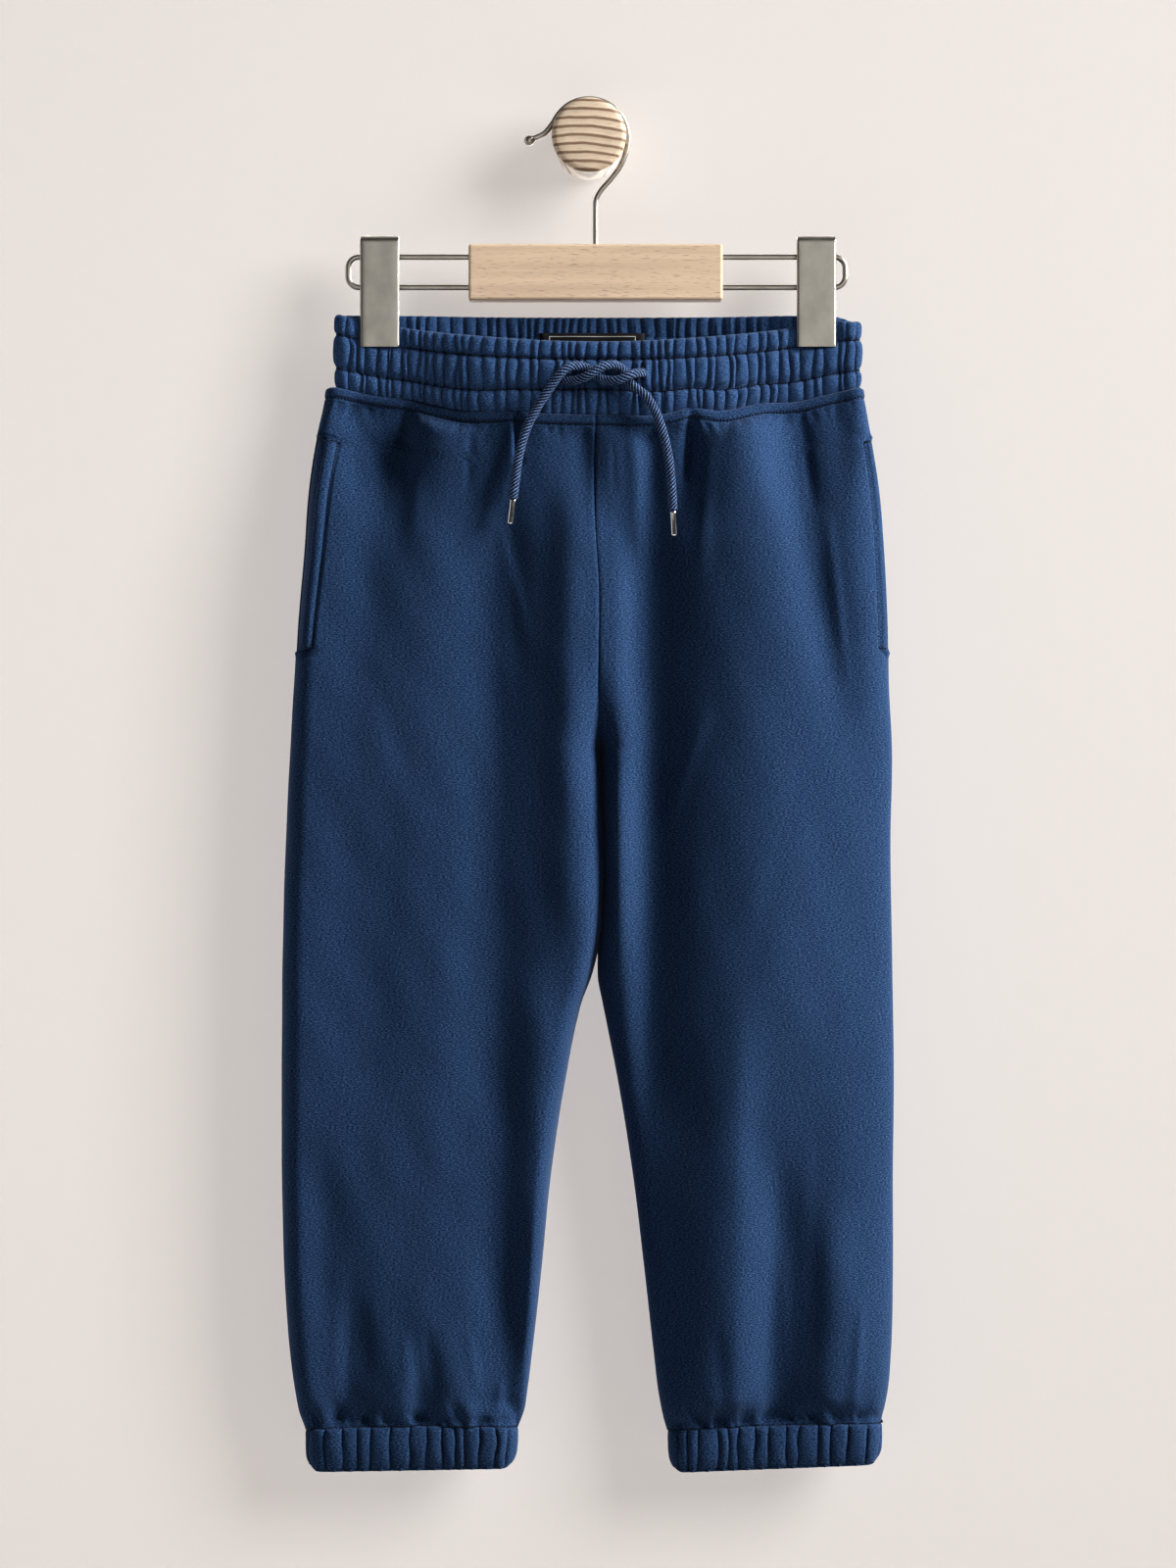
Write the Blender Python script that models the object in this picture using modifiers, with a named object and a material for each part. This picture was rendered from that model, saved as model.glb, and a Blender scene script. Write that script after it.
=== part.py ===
"""Child's fleece jogger sweatpants on a clip hanger, hung from a round wall knob.

The trousers are walls of fleece: four leg panels, a gathered waistband, two gathered
cuffs, two pocket facings and a drawcord with metal tips. The waistband is gripped by
the two clips of a wood and wire hanger, whose hook hangs on the knob.

Frame: the origin is the centre of the knob's wall face, +X is right as seen from the
front, +Y goes into the wall and +Z is up. Sizes here are millimetres, meshes metres.
"""
import math
import random
from collections import namedtuple

import bmesh
import bpy
import numpy as np

MM = 0.001
SHARP = math.radians(60)   # faces that meet at more than this are shaded apart

# ---- cloth ----
FLEECE = 2.0               # wall of the brushed fleece
SEAM = 0.3                 # open gap between neighbouring pieces
HANG_Y = -38.0             # depth at which side seams and inseams hang
BLUNT = 2.4                # roundness of a hanging fold, 2 is an ellipse

# ---- heights, from the knob's centre ----
BAND_TOP = -90.7           # straight back edge of the waistband
BAND_HEIGHT = 36.4         # waistband from its top edge to the hem
HEM_Z = -128.0             # body's top edge at the side seams
HEM_GAP = 0.6              # between the waistband and the body
POCKET_TOP = -151.0
POCKET_END = -266.0
CROTCH_OPEN = -250.0       # the crotch seam starts to turn in
CROTCH_Z = -312.0          # lowest point of the crotch seam
CUFF_Z = -657.8            # seam between leg and cuff

# ---- waistband, plan ----
BAND_LEFT = -128.8
BAND_RIGHT = 137.8
BAND_ROUND = 9.0           # length of the rounded fold at each side
FRONT_OPEN = 17.0          # front half droops this far forward between the clips
BACK_OPEN = 9.0
SIDE_OPEN = 7.0            # half depth of the loose ends outside the clips
HELD = 3.5                 # half depth of cloth inside a clip
OPEN_SPREAD = 34.0         # length over which it opens away from a clip, between the clips
END_SPREAD = 10.0          # and outside them
GRIP_FADE = 6.0            # gathers flattened by a clip come back over this length
DROOP_FRONT = 15.0         # sag of the front edge at its middle
DROOP_BACK = 0.6
DROOP_FADE = 110.0         # the sag is gone this far below the hem
RIGHT_SAG = 3.5            # the loose right end hangs lower
SAG_START = 6.0            # it starts this far beyond the right clip's middle
SAG_SPREAD = 16.0
BODY_PROUD = 0.7           # the body stands out this far from the band at the hem
BODY_FADE = 85.0           # the band's plan fades into the body's over this length

# ---- label, inside the back waistband ----
LABEL = 0.7
LABEL_LEFT = -25.0
LABEL_RIGHT = 28.5
LABEL_EDGES = (-100.2, -121.5)

# ---- hanger ----
HANGER_X = 3.4             # centre of block and hook stem
WIRE_Y = -34.5             # depth of hook and wires
WIRE = 3.0                 # rail wire, diameter
ROD_TOP = -60.8
ROD_BOTTOM = -76.3
RAIL_LEFT = -123.0         # wire centreline at the rounded ends
RAIL_RIGHT = 131.0
RAIL_CORNER = 5.5
BLOCK = (129.5, 14.0, 28.5)
BLOCK_Z = -69.0
BLOCK_EDGE = 1.2           # broken edges of the block
BORE_DEPTH = 18.0
HOOK_BORE = 11.0
CLIP_LEFT_X = -106.5
CLIP_RIGHT_X = 115.8
CLIP_WIDTH = 19.0
CLIP_TOP = -50.8
CLIP_FRONT_END = -107.5
CLIP_BACK_END = -101.0
SHEET = 1.2                # clip's sheet metal
JAW = 5.3                  # from the hanging plane to a jaw's inner face
FLANGE = 1.3               # turned edge of the front jaw
FLARE = 0.4                # and how far it leans outwards
CLIP_BEND = 3.0            # bend over the rails

# ---- hook and knob ----
HOOK_WIRE = 2.8
HOOK_STEP = 4.2            # length of wire between its points
HOOK_BALL = 2.7            # radius of the rounded wire end
BALL_STEPS = (-0.75, -0.35, 0.05, 0.45, 0.8, 0.97)
KNOB_LENGTH = 50.0
KNOB_SEAT = 18.3           # knob's radius where the hook rests
KNOB_SIDES = 36

# ---- drawcord ----
CORD = 5.0
CORD_STEP = 6.5            # length of cord between its points
TIP_RADIUS = 1.7
TIP_LENGTH = 13.0

# Outer side of the body, seam to seam, at each height.
Outline = namedtuple("Outline", "z left right")
OUTLINE = (
    Outline(-128, -133.6, 139.6), Outline(-142, -136.5, 142.0), Outline(-154, -139.0, 144.0),
    Outline(-180, -143.0, 148.0), Outline(-210, -145.2, 150.5), Outline(-250, -148.6, 152.5),
    Outline(-280, -150.2, 153.0), Outline(-310, -152.0, 154.5), Outline(-360, -154.5, 153.8),
    Outline(-417, -156.0, 154.6), Outline(-480, -156.6, 155.5), Outline(-530, -156.5, 155.0),
    Outline(-580, -155.0, 155.0), Outline(-620, -152.2, 154.0), Outline(-640, -149.5, 152.4),
    Outline(-650, -147.5, 150.6), Outline(-658, -144.6, 148.8),
)

# Line midway between the legs, and half the gap between them. A negative gap presses
# the legs together. Above the crotch the gap follows the crotch seam instead.
Middle = namedtuple("Middle", "z x gap")
MIDDLE = (
    Middle(-128, 3.7, 0.0), Middle(-190, 3.2, 0.0), Middle(-230, 5.2, 0.0),
    Middle(-290, 5.0, 0.0), Middle(-312, 6.0, 0.0), Middle(-335, 6.8, -1.2),
    Middle(-400, 6.2, -1.2), Middle(-418, 4.2, 0.2), Middle(-430, 2.6, 2.0),
    Middle(-440, 1.6, 5.0), Middle(-450, 1.3, 7.3), Middle(-480, 1.3, 13.2),
    Middle(-530, 1.5, 21.0), Middle(-580, 2.0, 26.5), Middle(-620, 2.0, 31.0),
    Middle(-640, 2.0, 33.5), Middle(-650, 2.2, 35.3), Middle(-658, 1.8, 37.8),
)

# Half depths of front and back, and how far the rounding of the side folds and of the
# inner folds reaches in on the left and the right half.
Depth = namedtuple("Depth", "z front back outer_left outer_right inner_left inner_right")
DEPTH = (
    Depth(-128, 17.0, 12.0, 9, 9, 26, 26), Depth(-155, 17.0, 12.5, 8, 11, 26, 26),
    Depth(-185, 17.5, 14.0, 9, 18, 26, 26), Depth(-220, 18.0, 15.5, 10, 27, 26, 26),
    Depth(-265, 18.5, 17.0, 11, 33, 26, 26), Depth(-312, 19.5, 18.5, 12, 35, 24, 26),
    Depth(-417, 20.0, 19.0, 12, 34, 12, 27), Depth(-530, 19.0, 18.5, 12, 32, 8, 30),
    Depth(-610, 17.5, 17.5, 12, 30, 8, 28), Depth(-640, 15.0, 15.0, 12, 26, 9, 24),
    Depth(-658, 11.0, 11.0, 12, 20, 10, 20),
)

# Hanging folds: a line from top to bottom, its rise towards the outside, the widths of
# its two flanks, and the length over which it fades away at the bottom.
Fold = namedtuple("Fold", "x_top z_top x_end z_end rise left right fade")
FRONT_FOLDS = (
    Fold(-104, -128, -118, -330, -4.6, 17, 18, 110),
    Fold(-104, -129, -104, -200, -2.6, 6, 5, 40),
    Fold(-84, -128, -88, -230, 3.6, 7, 30, 90),
    Fold(-60, -128, -58, -180, -0.8, 6, 6, 40),
    Fold(-115, -320, -112, -520, -1.4, 18, 18, 90),
    Fold(-52, -145, -54, -520, -5.4, 30, 17, 90),
    Fold(-40, -145, -34, -330, -1.2, 5, 7, 90),
    Fold(-30, -128, -32, -180, -1.6, 4, 5, 40),
    Fold(-10, -128, -7, -440, 5.0, 11, 14, 60),
    Fold(-4, -128, 0, -200, -4.0, 8, 5, 60),
    Fold(16, -128, 16, -440, 4.5, 6, 7, 60),
    Fold(29, -128, 28, -520, -7.0, 8, 18, 90),
    Fold(38, -128, 40, -200, 2.4, 5, 6, 50),
    Fold(50, -128, 47, -200, -3.0, 5, 12, 50),
    Fold(84, -128, 84, -520, 7.0, 30, 34, 90),
    Fold(92, -128, 137, -330, -5.0, 10, 12, 90),
    Fold(100, -128, 106, -190, -2.5, 5, 10, 30),
    Fold(150, -260, 150, -600, -5.0, 32, 10, 60),
    Fold(-52, -430, -46, -654, -4.2, 24, 18, 12),
    Fold(-46, -530, -44, -658, -4.5, 12, 9, 10),
    Fold(-22, -420, -34, -654, 2.0, 12, 7, 15),
    Fold(-135, -500, -130, -658, -2.0, 9, 12, 10),
    Fold(-118, -560, -122, -658, -3.0, 6, 12, 10),
    Fold(-96, -575, -95, -658, 2.0, 8, 6, 10),
    Fold(-85, -575, -85, -658, -3.0, 6, 8, 10),
    Fold(-66, -560, -66, -658, 2.0, 10, 9, 10),
    Fold(31, -430, 36, -652, -4.0, 11, 20, 30),
    Fold(74, -430, 72, -656, 5.5, 22, 12, 15),
    Fold(96, -515, 94, -658, -6.0, 8, 16, 12),
    Fold(124, -520, 121, -656, 3.0, 11, 14, 15),
)
BACK_FOLDS = (
    Fold(-88, -128, -94, -380, 5.5, 20, 14, 140),
    Fold(-58, -128, -46, -350, -5.5, 13, 11, 120),
    Fold(-22, -128, -15, -300, 5.0, 12, 14, 90),
    Fold(4.5, -128, 5, -300, -3.5, 10, 10, 50),
    Fold(34, -128, 30, -380, 6.0, 12, 16, 120),
    Fold(66, -128, 62, -420, -6.0, 12, 15, 150),
    Fold(98, -128, 108, -360, 5.5, 18, 14, 120),
    Fold(-118, -330, -112, -600, 4.0, 18, 14, 120),
    Fold(-72, -400, -70, -652, -5.0, 14, 12, 30),
    Fold(-40, -430, -44, -640, 4.0, 12, 12, 50),
    Fold(-98, -560, -94, -658, -4.5, 9, 8, 10),
    Fold(50, -420, 56, -645, 5.0, 14, 10, 50),
    Fold(80, -400, 82, -654, -5.5, 12, 13, 25),
    Fold(112, -480, 108, -656, 4.5, 14, 9, 20),
    Fold(128, -560, 125, -658, -4.0, 8, 8, 10),
)
FOLD_START = 12.0          # folds grow over this length below the hem
FOLD_EASE = 60.0           # and over this length where they start lower down
THIN = 3.2                 # smallest half depth, keeps front and back apart

# Rows of the gathered bands: drop below the top edge, swell of the outer face, and
# half height of the gathers there.
Swell = namedtuple("Swell", "drop out gather")
BAND_ROWS = (
    Swell(0.0, 0.0, 0.3), Swell(4.4, 1.6, 0.8), Swell(10.2, 0.0, 0.35),
    Swell(18.4, 2.0, 0.9), Swell(27.2, 0.0, 0.35), Swell(31.8, 1.5, 0.8),
    Swell(BAND_HEIGHT, 0.2, 0.3),
)
CUFF_ROWS = (
    Swell(0.0, -0.2, 0.4), Swell(4.0, 1.3, 0.8), Swell(12.0, 0.9, 0.8),
    Swell(18.6, -0.9, 0.6), Swell(20.6, -2.4, 0.2),
)
BAND_WALL = 2.6            # plain inner face behind the stitch level
BAND_PLEATS = 100
CUFF_PLEATS = 28
CUFF_DEPTH = 10.6
CUFF_ROUND = 13.0
CUFF_GAP = 0.4             # between a cuff and its leg
CUFF_TILT = 0.8            # the left end of a cuff is this much deeper
CUFF_FADE = 40.0           # the leg follows the cuff's line over this length

Cuff = namedtuple("Cuff", "side left right z_left z_right arch")
CUFFS = (
    Cuff("left", -143.4, -37.4, -658.6, -657.6, 1.8),
    Cuff("right", 41.2, 148.4, -659.0, -655.6, 1.2),
)

# Heights of the panel rows below the hem ridge.
LEG_ROWS = (-142, POCKET_TOP, -160, -180, -205, -235, -256, POCKET_END, -278, -290, -300, -307,
            -312.5, -325, -365, -405, -420, -435, -455, -490, -535, -580, -615, -636, -648)
RIDGE_ROWS = ((0.0, 0.0), (1.2, 0.6), (4.6, 0.6), (5.6, 0.0))   # below the edge, raised by
PANEL_COLUMNS = 17
PUCKER_PITCH = 15.0        # short gathers where the leg meets its cuff
PUCKER_RISE = 0.8
PUCKER_LENGTH = 13.0
PUCKER_DRIFT = 2.5         # unevenness of the puckers' places
PUCKER_ROUND = 11.0

# Pocket mouth: length of facing seen between the front panel's edge and the side seam.
POCKET_GAPE = {"left": 15.0, "right": 6.0}
GAPE_HIGH = 0.7            # below 1 the widest place lies above the middle
GAPE_FULL = 0.8            # below 1 the mouth is fuller than a half wave
FACING = 1.2
FACING_GAP = 0.5           # between the facing and the front panel's inner face

# Drawcord routes x, y, z from the eyelet to the tip, and the hook's route x, z from its
# bore in the block to its ball end.
LEFT_STRAND = (
    (27.5, -59.5, -122.4), (24.4, -62.7, -122.6), (20.5, -65.8, -124.0), (14.5, -65.2, -126.4),
    (7.0, -61.5, -125.8), (3.0, -60.1, -122.8), (-0.5, -60.3, -120.2), (-4.5, -62.0, -119.0),
    (-10.5, -65.0, -120.0), (-14.5, -65.2, -123.2), (-19.0, -63.4, -129.2), (-26.0, -61.2, -139.8),
    (-31.0, -60.2, -149.2), (-35.0, -59.4, -162.2), (-37.0, -59.0, -174.8), (-38.3, -58.8, -185.6),
)
RIGHT_STRAND = (
    (-13.0, -59.6, -125.8), (-8.5, -61.2, -126.4), (-4.0, -63.8, -125.6), (0.5, -65.6, -123.4),
    (5.5, -65.6, -120.2), (10.5, -63.6, -118.5), (14.2, -61.6, -118.9), (17.6, -60.2, -121.4),
    (19.6, -60.0, -125.8), (23.4, -60.6, -129.8), (28.6, -61.4, -134.0), (33.5, -61.4, -141.8),
    (37.3, -61.6, -152.4), (40.0, -61.8, -164.4), (41.6, -61.4, -178.2), (42.4, -60.6, -191.6),
)
HOOK_ROUTE = (
    (3.4, -64.0), (3.4, -50.0), (3.4, -38.0), (3.7, -31.5), (6.2, -26.8), (10.8, -21.6),
    (15.7, -15.0), (18.6, -8.4), (20.1, 0.0), (18.9, 6.9), (15.4, 12.9), (10.1, 17.4),
    (3.5, 19.8), (-3.5, 19.8), (-10.1, 17.4), (-15.2, 12.8), (-19.0, 7.0), (-23.0, 2.4),
    (-28.0, 0.0),
)

# Turned profile of the knob, from the middle of its face to the wall.
Turning = namedtuple("Turning", "radius out")
KNOB_PROFILE = (
    Turning(0.0, KNOB_LENGTH), Turning(16.6, KNOB_LENGTH), Turning(18.2, 49.2),
    Turning(19.0, 47.4), Turning(18.9, 44.0), Turning(KNOB_SEAT, 36.5),
    Turning(KNOB_SEAT, 32.5), Turning(17.6, 22.0), Turning(16.9, 8.0), Turning(16.5, 0.0),
    Turning(0.0, 0.0),
)

Finish = namedtuple("Finish", "colour roughness metallic")
FINISHES = {
    "fleece": Finish((0.031, 0.066, 0.17), 0.95, 0.0),
    "cord": Finish((0.07, 0.13, 0.27), 0.85, 0.0),
    "label": Finish((0.02, 0.018, 0.018), 0.7, 0.0),
    "tip": Finish((0.75, 0.75, 0.76), 0.2, 1.0),
    "nickel": Finish((0.42, 0.40, 0.36), 0.35, 1.0),
    "block_wood": Finish((0.74, 0.52, 0.32), 0.6, 0.0),
    "knob_wood": Finish((0.62, 0.41, 0.23), 0.55, 0.0),
}


# ---------------------------------------------------------------- small tools

def smooth(t):
    """Ease from 0 to 1."""
    t = np.clip(t, 0.0, 1.0)
    return t * t * (3.0 - 2.0 * t)


def along(rows, column, z):
    """Value of a table's column at height z, on a smooth curve through its rows."""
    down = np.array([-row.z for row in rows], dtype=float)
    value = np.array([getattr(row, column) for row in rows], dtype=float)
    slope = np.gradient(value, down)
    at = np.clip(-np.asarray(z, dtype=float), down[0], down[-1])
    k = np.clip(np.searchsorted(down, at) - 1, 0, len(down) - 2)
    span = down[k + 1] - down[k]
    t = (at - down[k]) / span
    rest = 1.0 - t
    return (value[k] * (1 + 2 * t) * rest ** 2 + value[k + 1] * t ** 2 * (3 - 2 * t)
            + slope[k] * span * t * rest ** 2 - slope[k + 1] * span * t ** 2 * rest)


def new_material(name):
    finish = FINISHES[name]
    material = bpy.data.materials.new(name)
    material.use_nodes = True
    shader = material.node_tree.nodes["Principled BSDF"]
    shader.inputs["Base Color"].default_value = (*finish.colour, 1.0)
    shader.inputs["Roughness"].default_value = finish.roughness
    shader.inputs["Metallic"].default_value = finish.metallic
    return material


def add_object(name, data, finish, collection="jogger_on_hanger"):
    """Put a mesh or curve in the scene under its own name, in millimetres."""
    obj = bpy.data.objects.new(name, data)
    bpy.data.collections[collection].objects.link(obj)
    if finish:
        data.materials.append(MATERIALS[finish])
    return obj


def mesh_from(bm, name):
    """Finish a mesh: faces pointing out, shaded smooth but for its cut edges."""
    bmesh.ops.recalc_face_normals(bm, faces=bm.faces)
    mesh = bpy.data.meshes.new(name)
    bm.to_mesh(mesh)
    bm.free()
    mesh.shade_smooth()
    mesh.set_sharp_from_angle(angle=SHARP)
    return mesh


def add_grid(bm, points):
    """Vertices of a grid of millimetre points, row by row."""
    return [[bm.verts.new([c * MM for c in point]) for point in row] for row in points]


def add_skin(bm, grid, closed):
    """Quads between the rows of a grid, which may close on itself."""
    columns = len(grid[0])
    for upper, lower in zip(grid, grid[1:]):
        for i in range(columns if closed else columns - 1):
            j = (i + 1) % columns
            bm.faces.new((upper[i], lower[i], lower[j], upper[j]))


def add_rim(bm, outer, inner, every, closed):
    """Edge face between an outer row and an inner row with one point to its every."""
    count = len(inner)
    for i in range(count if closed else count - 1):
        j = (i + 1) % count
        arc = [outer[(i * every + k) % len(outer)] for k in range(every + 1)]
        bm.faces.new(arc + [inner[j], inner[i]])


# ---------------------------------------------------------------- waistband plan

def half_depth_at_band(x, face):
    """Half depth of the waistband: pinched in the clips, open between and beyond them."""
    gap_left = np.abs(x - CLIP_LEFT_X) - CLIP_WIDTH / 2
    gap_right = np.abs(x - CLIP_RIGHT_X) - CLIP_WIDTH / 2
    away = np.maximum(np.minimum(gap_left, gap_right), 0.0)
    between = (x > CLIP_LEFT_X) & (x < CLIP_RIGHT_X)
    spread = np.where(between, OPEN_SPREAD, END_SPREAD)
    opened = np.where(between, np.where(face < 0, FRONT_OPEN, BACK_OPEN), SIDE_OPEN)
    pinch = np.exp(-(away / spread) ** 2)
    return pinch * HELD + (1 - pinch) * opened


def clip_grip(x):
    """1 where a clip flattens the gathers, 0 well away from both."""
    left = np.abs(x - CLIP_LEFT_X) - CLIP_WIDTH / 2
    right = np.abs(x - CLIP_RIGHT_X) - CLIP_WIDTH / 2
    return 1.0 - smooth((np.minimum(left, right) - 1.0) / GRIP_FADE)


def droop(x, face, low):
    """How far the band sags between the sides, at its top edge (low 0) or bottom (low 1)."""
    middle = (BAND_LEFT + BAND_RIGHT) / 2
    across = np.clip(np.abs(x - middle) * 2 / (BAND_RIGHT - BAND_LEFT), 0.0, 1.0)
    sag = np.where(face < 0, DROOP_FRONT, DROOP_BACK) * (1.0 - across ** 2)
    loose = smooth((x - CLIP_RIGHT_X - SAG_START) / SAG_SPREAD) * RIGHT_SAG * (1 - low)
    return sag + loose


# ---------------------------------------------------------------- body and legs

def crotch_gap(z):
    """Half gap at the inner edge: it follows the crotch seam, then the space between legs."""
    if z >= CROTCH_Z:
        turn = min(1.0, (z - CROTCH_Z) / (CROTCH_OPEN - CROTCH_Z))
        return -float(along(DEPTH, "inner_right", z)) * turn ** (BLUNT / 2)
    return float(along(MIDDLE, "gap", z))


def half_plan(side, z):
    """Plan of one half at height z, inner end to side seam: distance from the middle
    line, roundness (1 on the flat, 0 at a fold) and length along it from 0 to 1."""
    half = "left" if side < 0 else "right"
    middle = float(along(MIDDLE, "x", z))
    reach = side * (float(along(OUTLINE, half, z)) - middle)
    gap = crotch_gap(z)
    inner = float(along(DEPTH, "inner_" + half, z))
    outer = float(along(DEPTH, "outer_" + half, z))
    power = 2.0 / BLUNT
    start = 0.0
    if z >= CROTCH_Z:
        start = math.acos(min(1.0, max(0.0, 1.0 + gap / inner)) ** (1 / power))
    turn = np.linspace(start, math.pi / 2, 30)
    flat = np.linspace(gap + inner, reach - outer, 40)[1:-1]
    fold = np.linspace(math.pi / 2, 0.0, 40)
    away = np.concatenate((gap + inner * (1 - np.abs(np.cos(turn)) ** power), flat,
                           reach - outer * (1 - np.abs(np.cos(fold)) ** power)))
    roll = np.concatenate((np.sin(turn) ** power, np.ones(len(flat)),
                           np.abs(np.sin(fold)) ** power))
    away = np.maximum(away, SEAM / 2)
    step = np.hypot(np.diff(away), FRONT_OPEN * np.diff(roll))
    length = np.concatenate(([0.0], np.cumsum(step)))
    return middle, away, roll, length


def fold_rise(folds, x, z):
    """Rise of the hanging folds at places x, z."""
    total = np.zeros_like(x)
    for fold in folds:
        t = (fold.z_top - z) / (fold.z_top - fold.z_end)
        centre = fold.x_top + (fold.x_end - fold.x_top) * np.clip(t, 0.0, 1.0)
        width = np.where(x < centre, fold.left, fold.right)
        start = smooth((fold.z_top - z) / FOLD_START)
        if fold.z_top < HEM_Z - FOLD_START:
            start = smooth((fold.z_top - z) / FOLD_EASE)
        end = smooth((z - fold.z_end) / fold.fade) if fold.z_end > CUFF_Z else 1.0
        total = total + fold.rise * start * end * np.exp(-((x - centre) / width) ** 2)
    return total


def puckers(x, z):
    """Short gathers just above the cuff seam."""
    near = np.exp(-((z - CUFF_Z) / PUCKER_LENGTH) ** 2)
    drift = PUCKER_DRIFT * np.sin(x / PUCKER_ROUND)
    wave = np.cos(2 * math.pi * (x + drift) / PUCKER_PITCH)
    return PUCKER_RISE * near * wave


def surface(side, q, z):
    """Outer face of one half. q runs 0 to 1 over the front from the inner end to the
    side seam, and 1 to 2 over the back to the inner end again."""
    q = np.asarray(q, dtype=float)
    face = np.where(q <= 1.0, -1.0, 1.0)
    middle, away, roll, length = half_plan(side, z)
    at = np.where(q <= 1.0, q, 2.0 - q) * length[-1]
    x = middle + side * np.interp(at, length, away)
    round_off = np.interp(at, length, roll)
    below = HEM_Z - z
    height = z - droop(x, face, 1.0) * (1.0 - smooth(below / DROOP_FADE))
    blend = smooth(below / BODY_FADE)
    leg = np.where(face < 0, along(DEPTH, "front", z), along(DEPTH, "back", z))
    depth = (half_depth_at_band(x, face) + BODY_PROUD) * (1.0 - blend) + leg * blend
    folds = np.where(face < 0, fold_rise(FRONT_FOLDS, x, z), fold_rise(BACK_FOLDS, x, z))
    depth = np.maximum(depth + folds * smooth(below / FOLD_START) + puckers(x, z), THIN)
    y = HANG_Y + face * depth * round_off
    return np.stack((x, y, height), axis=-1)


def normals(side, q, z):
    """Outward directions of the surface at q, z."""
    dq = 0.004
    dz = 0.6
    top = HEM_Z - dz
    ahead = surface(side, np.clip(q + dq, 0.0, 2.0), z)
    behind = surface(side, np.clip(q - dq, 0.0, 2.0), z)
    if crotch_gap(z) >= 0.0 or z < CROTCH_Z:
        ends = (np.asarray(q) <= 0.0) | (np.asarray(q) >= 2.0)
        behind[ends] = surface(side, np.full(ends.sum(), 2.0 - dq), z)
        ahead[ends] = surface(side, np.full(ends.sum(), dq), z)
    around = ahead - behind
    down = surface(side, q, min(z, top) - dz) - surface(side, q, min(z, top) + dz)
    out = np.cross(down, around) * side
    return out / np.linalg.norm(out, axis=-1, keepdims=True)


def panel_points(side, q, z, offset):
    """Points moved out from the surface, kept on their own side of every seam."""
    points = surface(side, q, z) + normals(side, q, z) * np.asarray(offset)[..., None]
    front = np.asarray(q) <= 1.0
    limit = np.where(front, HANG_Y - SEAM / 2, HANG_Y + SEAM / 2)
    points[:, 1] = np.where(front, np.minimum(points[:, 1], limit), np.maximum(points[:, 1], limit))
    middle = float(along(MIDDLE, "x", z))
    points[:, 0] = middle + side * np.maximum(side * (points[:, 0] - middle), SEAM / 2)
    return points


def pocket_gape(side, z):
    """Width of facing that shows in the pocket mouth at height z."""
    t = np.clip((POCKET_TOP - z) / (POCKET_TOP - POCKET_END), 0.0, 1.0)
    widest = POCKET_GAPE["left" if side < 0 else "right"]
    if t <= 0.0 or t >= 1.0:
        return 0.0
    return widest * math.sin(math.pi * float(t) ** GAPE_HIGH) ** GAPE_FULL


def panel_rows():
    rows = [(HEM_Z - drop, ridge) for drop, ridge in RIDGE_ROWS]
    return rows + [(z, 0.0) for z in LEG_ROWS] + [(CUFF_Z, 0.0)]


def cuff_edge(x, z):
    """Seam line of a cuff: tilted and slightly arched, faded out above it."""
    cuff = CUFFS[0] if x < 0 else CUFFS[1]
    t = min(1.0, max(0.0, (x - cuff.left) / (cuff.right - cuff.left)))
    line = cuff.z_left + (cuff.z_right - cuff.z_left) * t + cuff.arch * 4 * t * (1 - t)
    return (line - CUFF_Z) * float(smooth(1.0 - (z - CUFF_Z) / CUFF_FADE))


def panel_columns(side, face, z):
    """Places of a panel's columns at height z. The front stops short at the pocket."""
    u = np.linspace(0.0, 1.0, PANEL_COLUMNS)
    if face > 0:
        return 2.0 - u
    return u * (1.0 - pocket_gape(side, z) / half_plan(side, z)[3][-1])


def build_wall(name, outer, inner, finish):
    """Closed wall between two grids of points."""
    bm = bmesh.new()
    outside = add_grid(bm, outer)
    inside = add_grid(bm, inner)
    add_skin(bm, outside, False)
    add_skin(bm, inside, False)
    for end in (0, -1):
        add_rim(bm, outside[end], inside[end], 1, False)
        add_rim(bm, [row[end] for row in outside], [row[end] for row in inside], 1, False)
    return add_object(name, mesh_from(bm, name), finish)


def build_panel(name, side, face):
    """Front or back panel of one leg, its top edge turned and raised as a hem."""
    outer = []
    inner = []
    for z, ridge in panel_rows():
        q = panel_columns(side, face, z)
        for grid, offset in ((outer, ridge), (inner, -FLEECE)):
            points = panel_points(side, q, z, np.full(len(q), offset))
            points[:, 2] += [cuff_edge(x, z) for x in points[:, 0]]
            grid.append(points)
    return build_wall(name, outer, inner, "fleece")


def build_facing(name, side):
    """Strip of pocket facing that shows in the mouth and runs on under the front, in
    step with the front panel's own rows and last columns."""
    outer = []
    inner = []
    depth = FLEECE + FACING_GAP
    for z in [z for z in LEG_ROWS if POCKET_END <= z <= POCKET_TOP]:
        under, edge = panel_columns(side, -1, z)[-2:]
        q = np.array((under, edge, (edge + 1.0) / 2, 1.0))
        outer.append(panel_points(side, q, z, np.full(len(q), -depth)))
        inner.append(panel_points(side, q, z, np.full(len(q), -depth - FACING)))
    return build_wall(name, outer, inner, "fleece")


# ---------------------------------------------------------------- gathered bands

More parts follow.
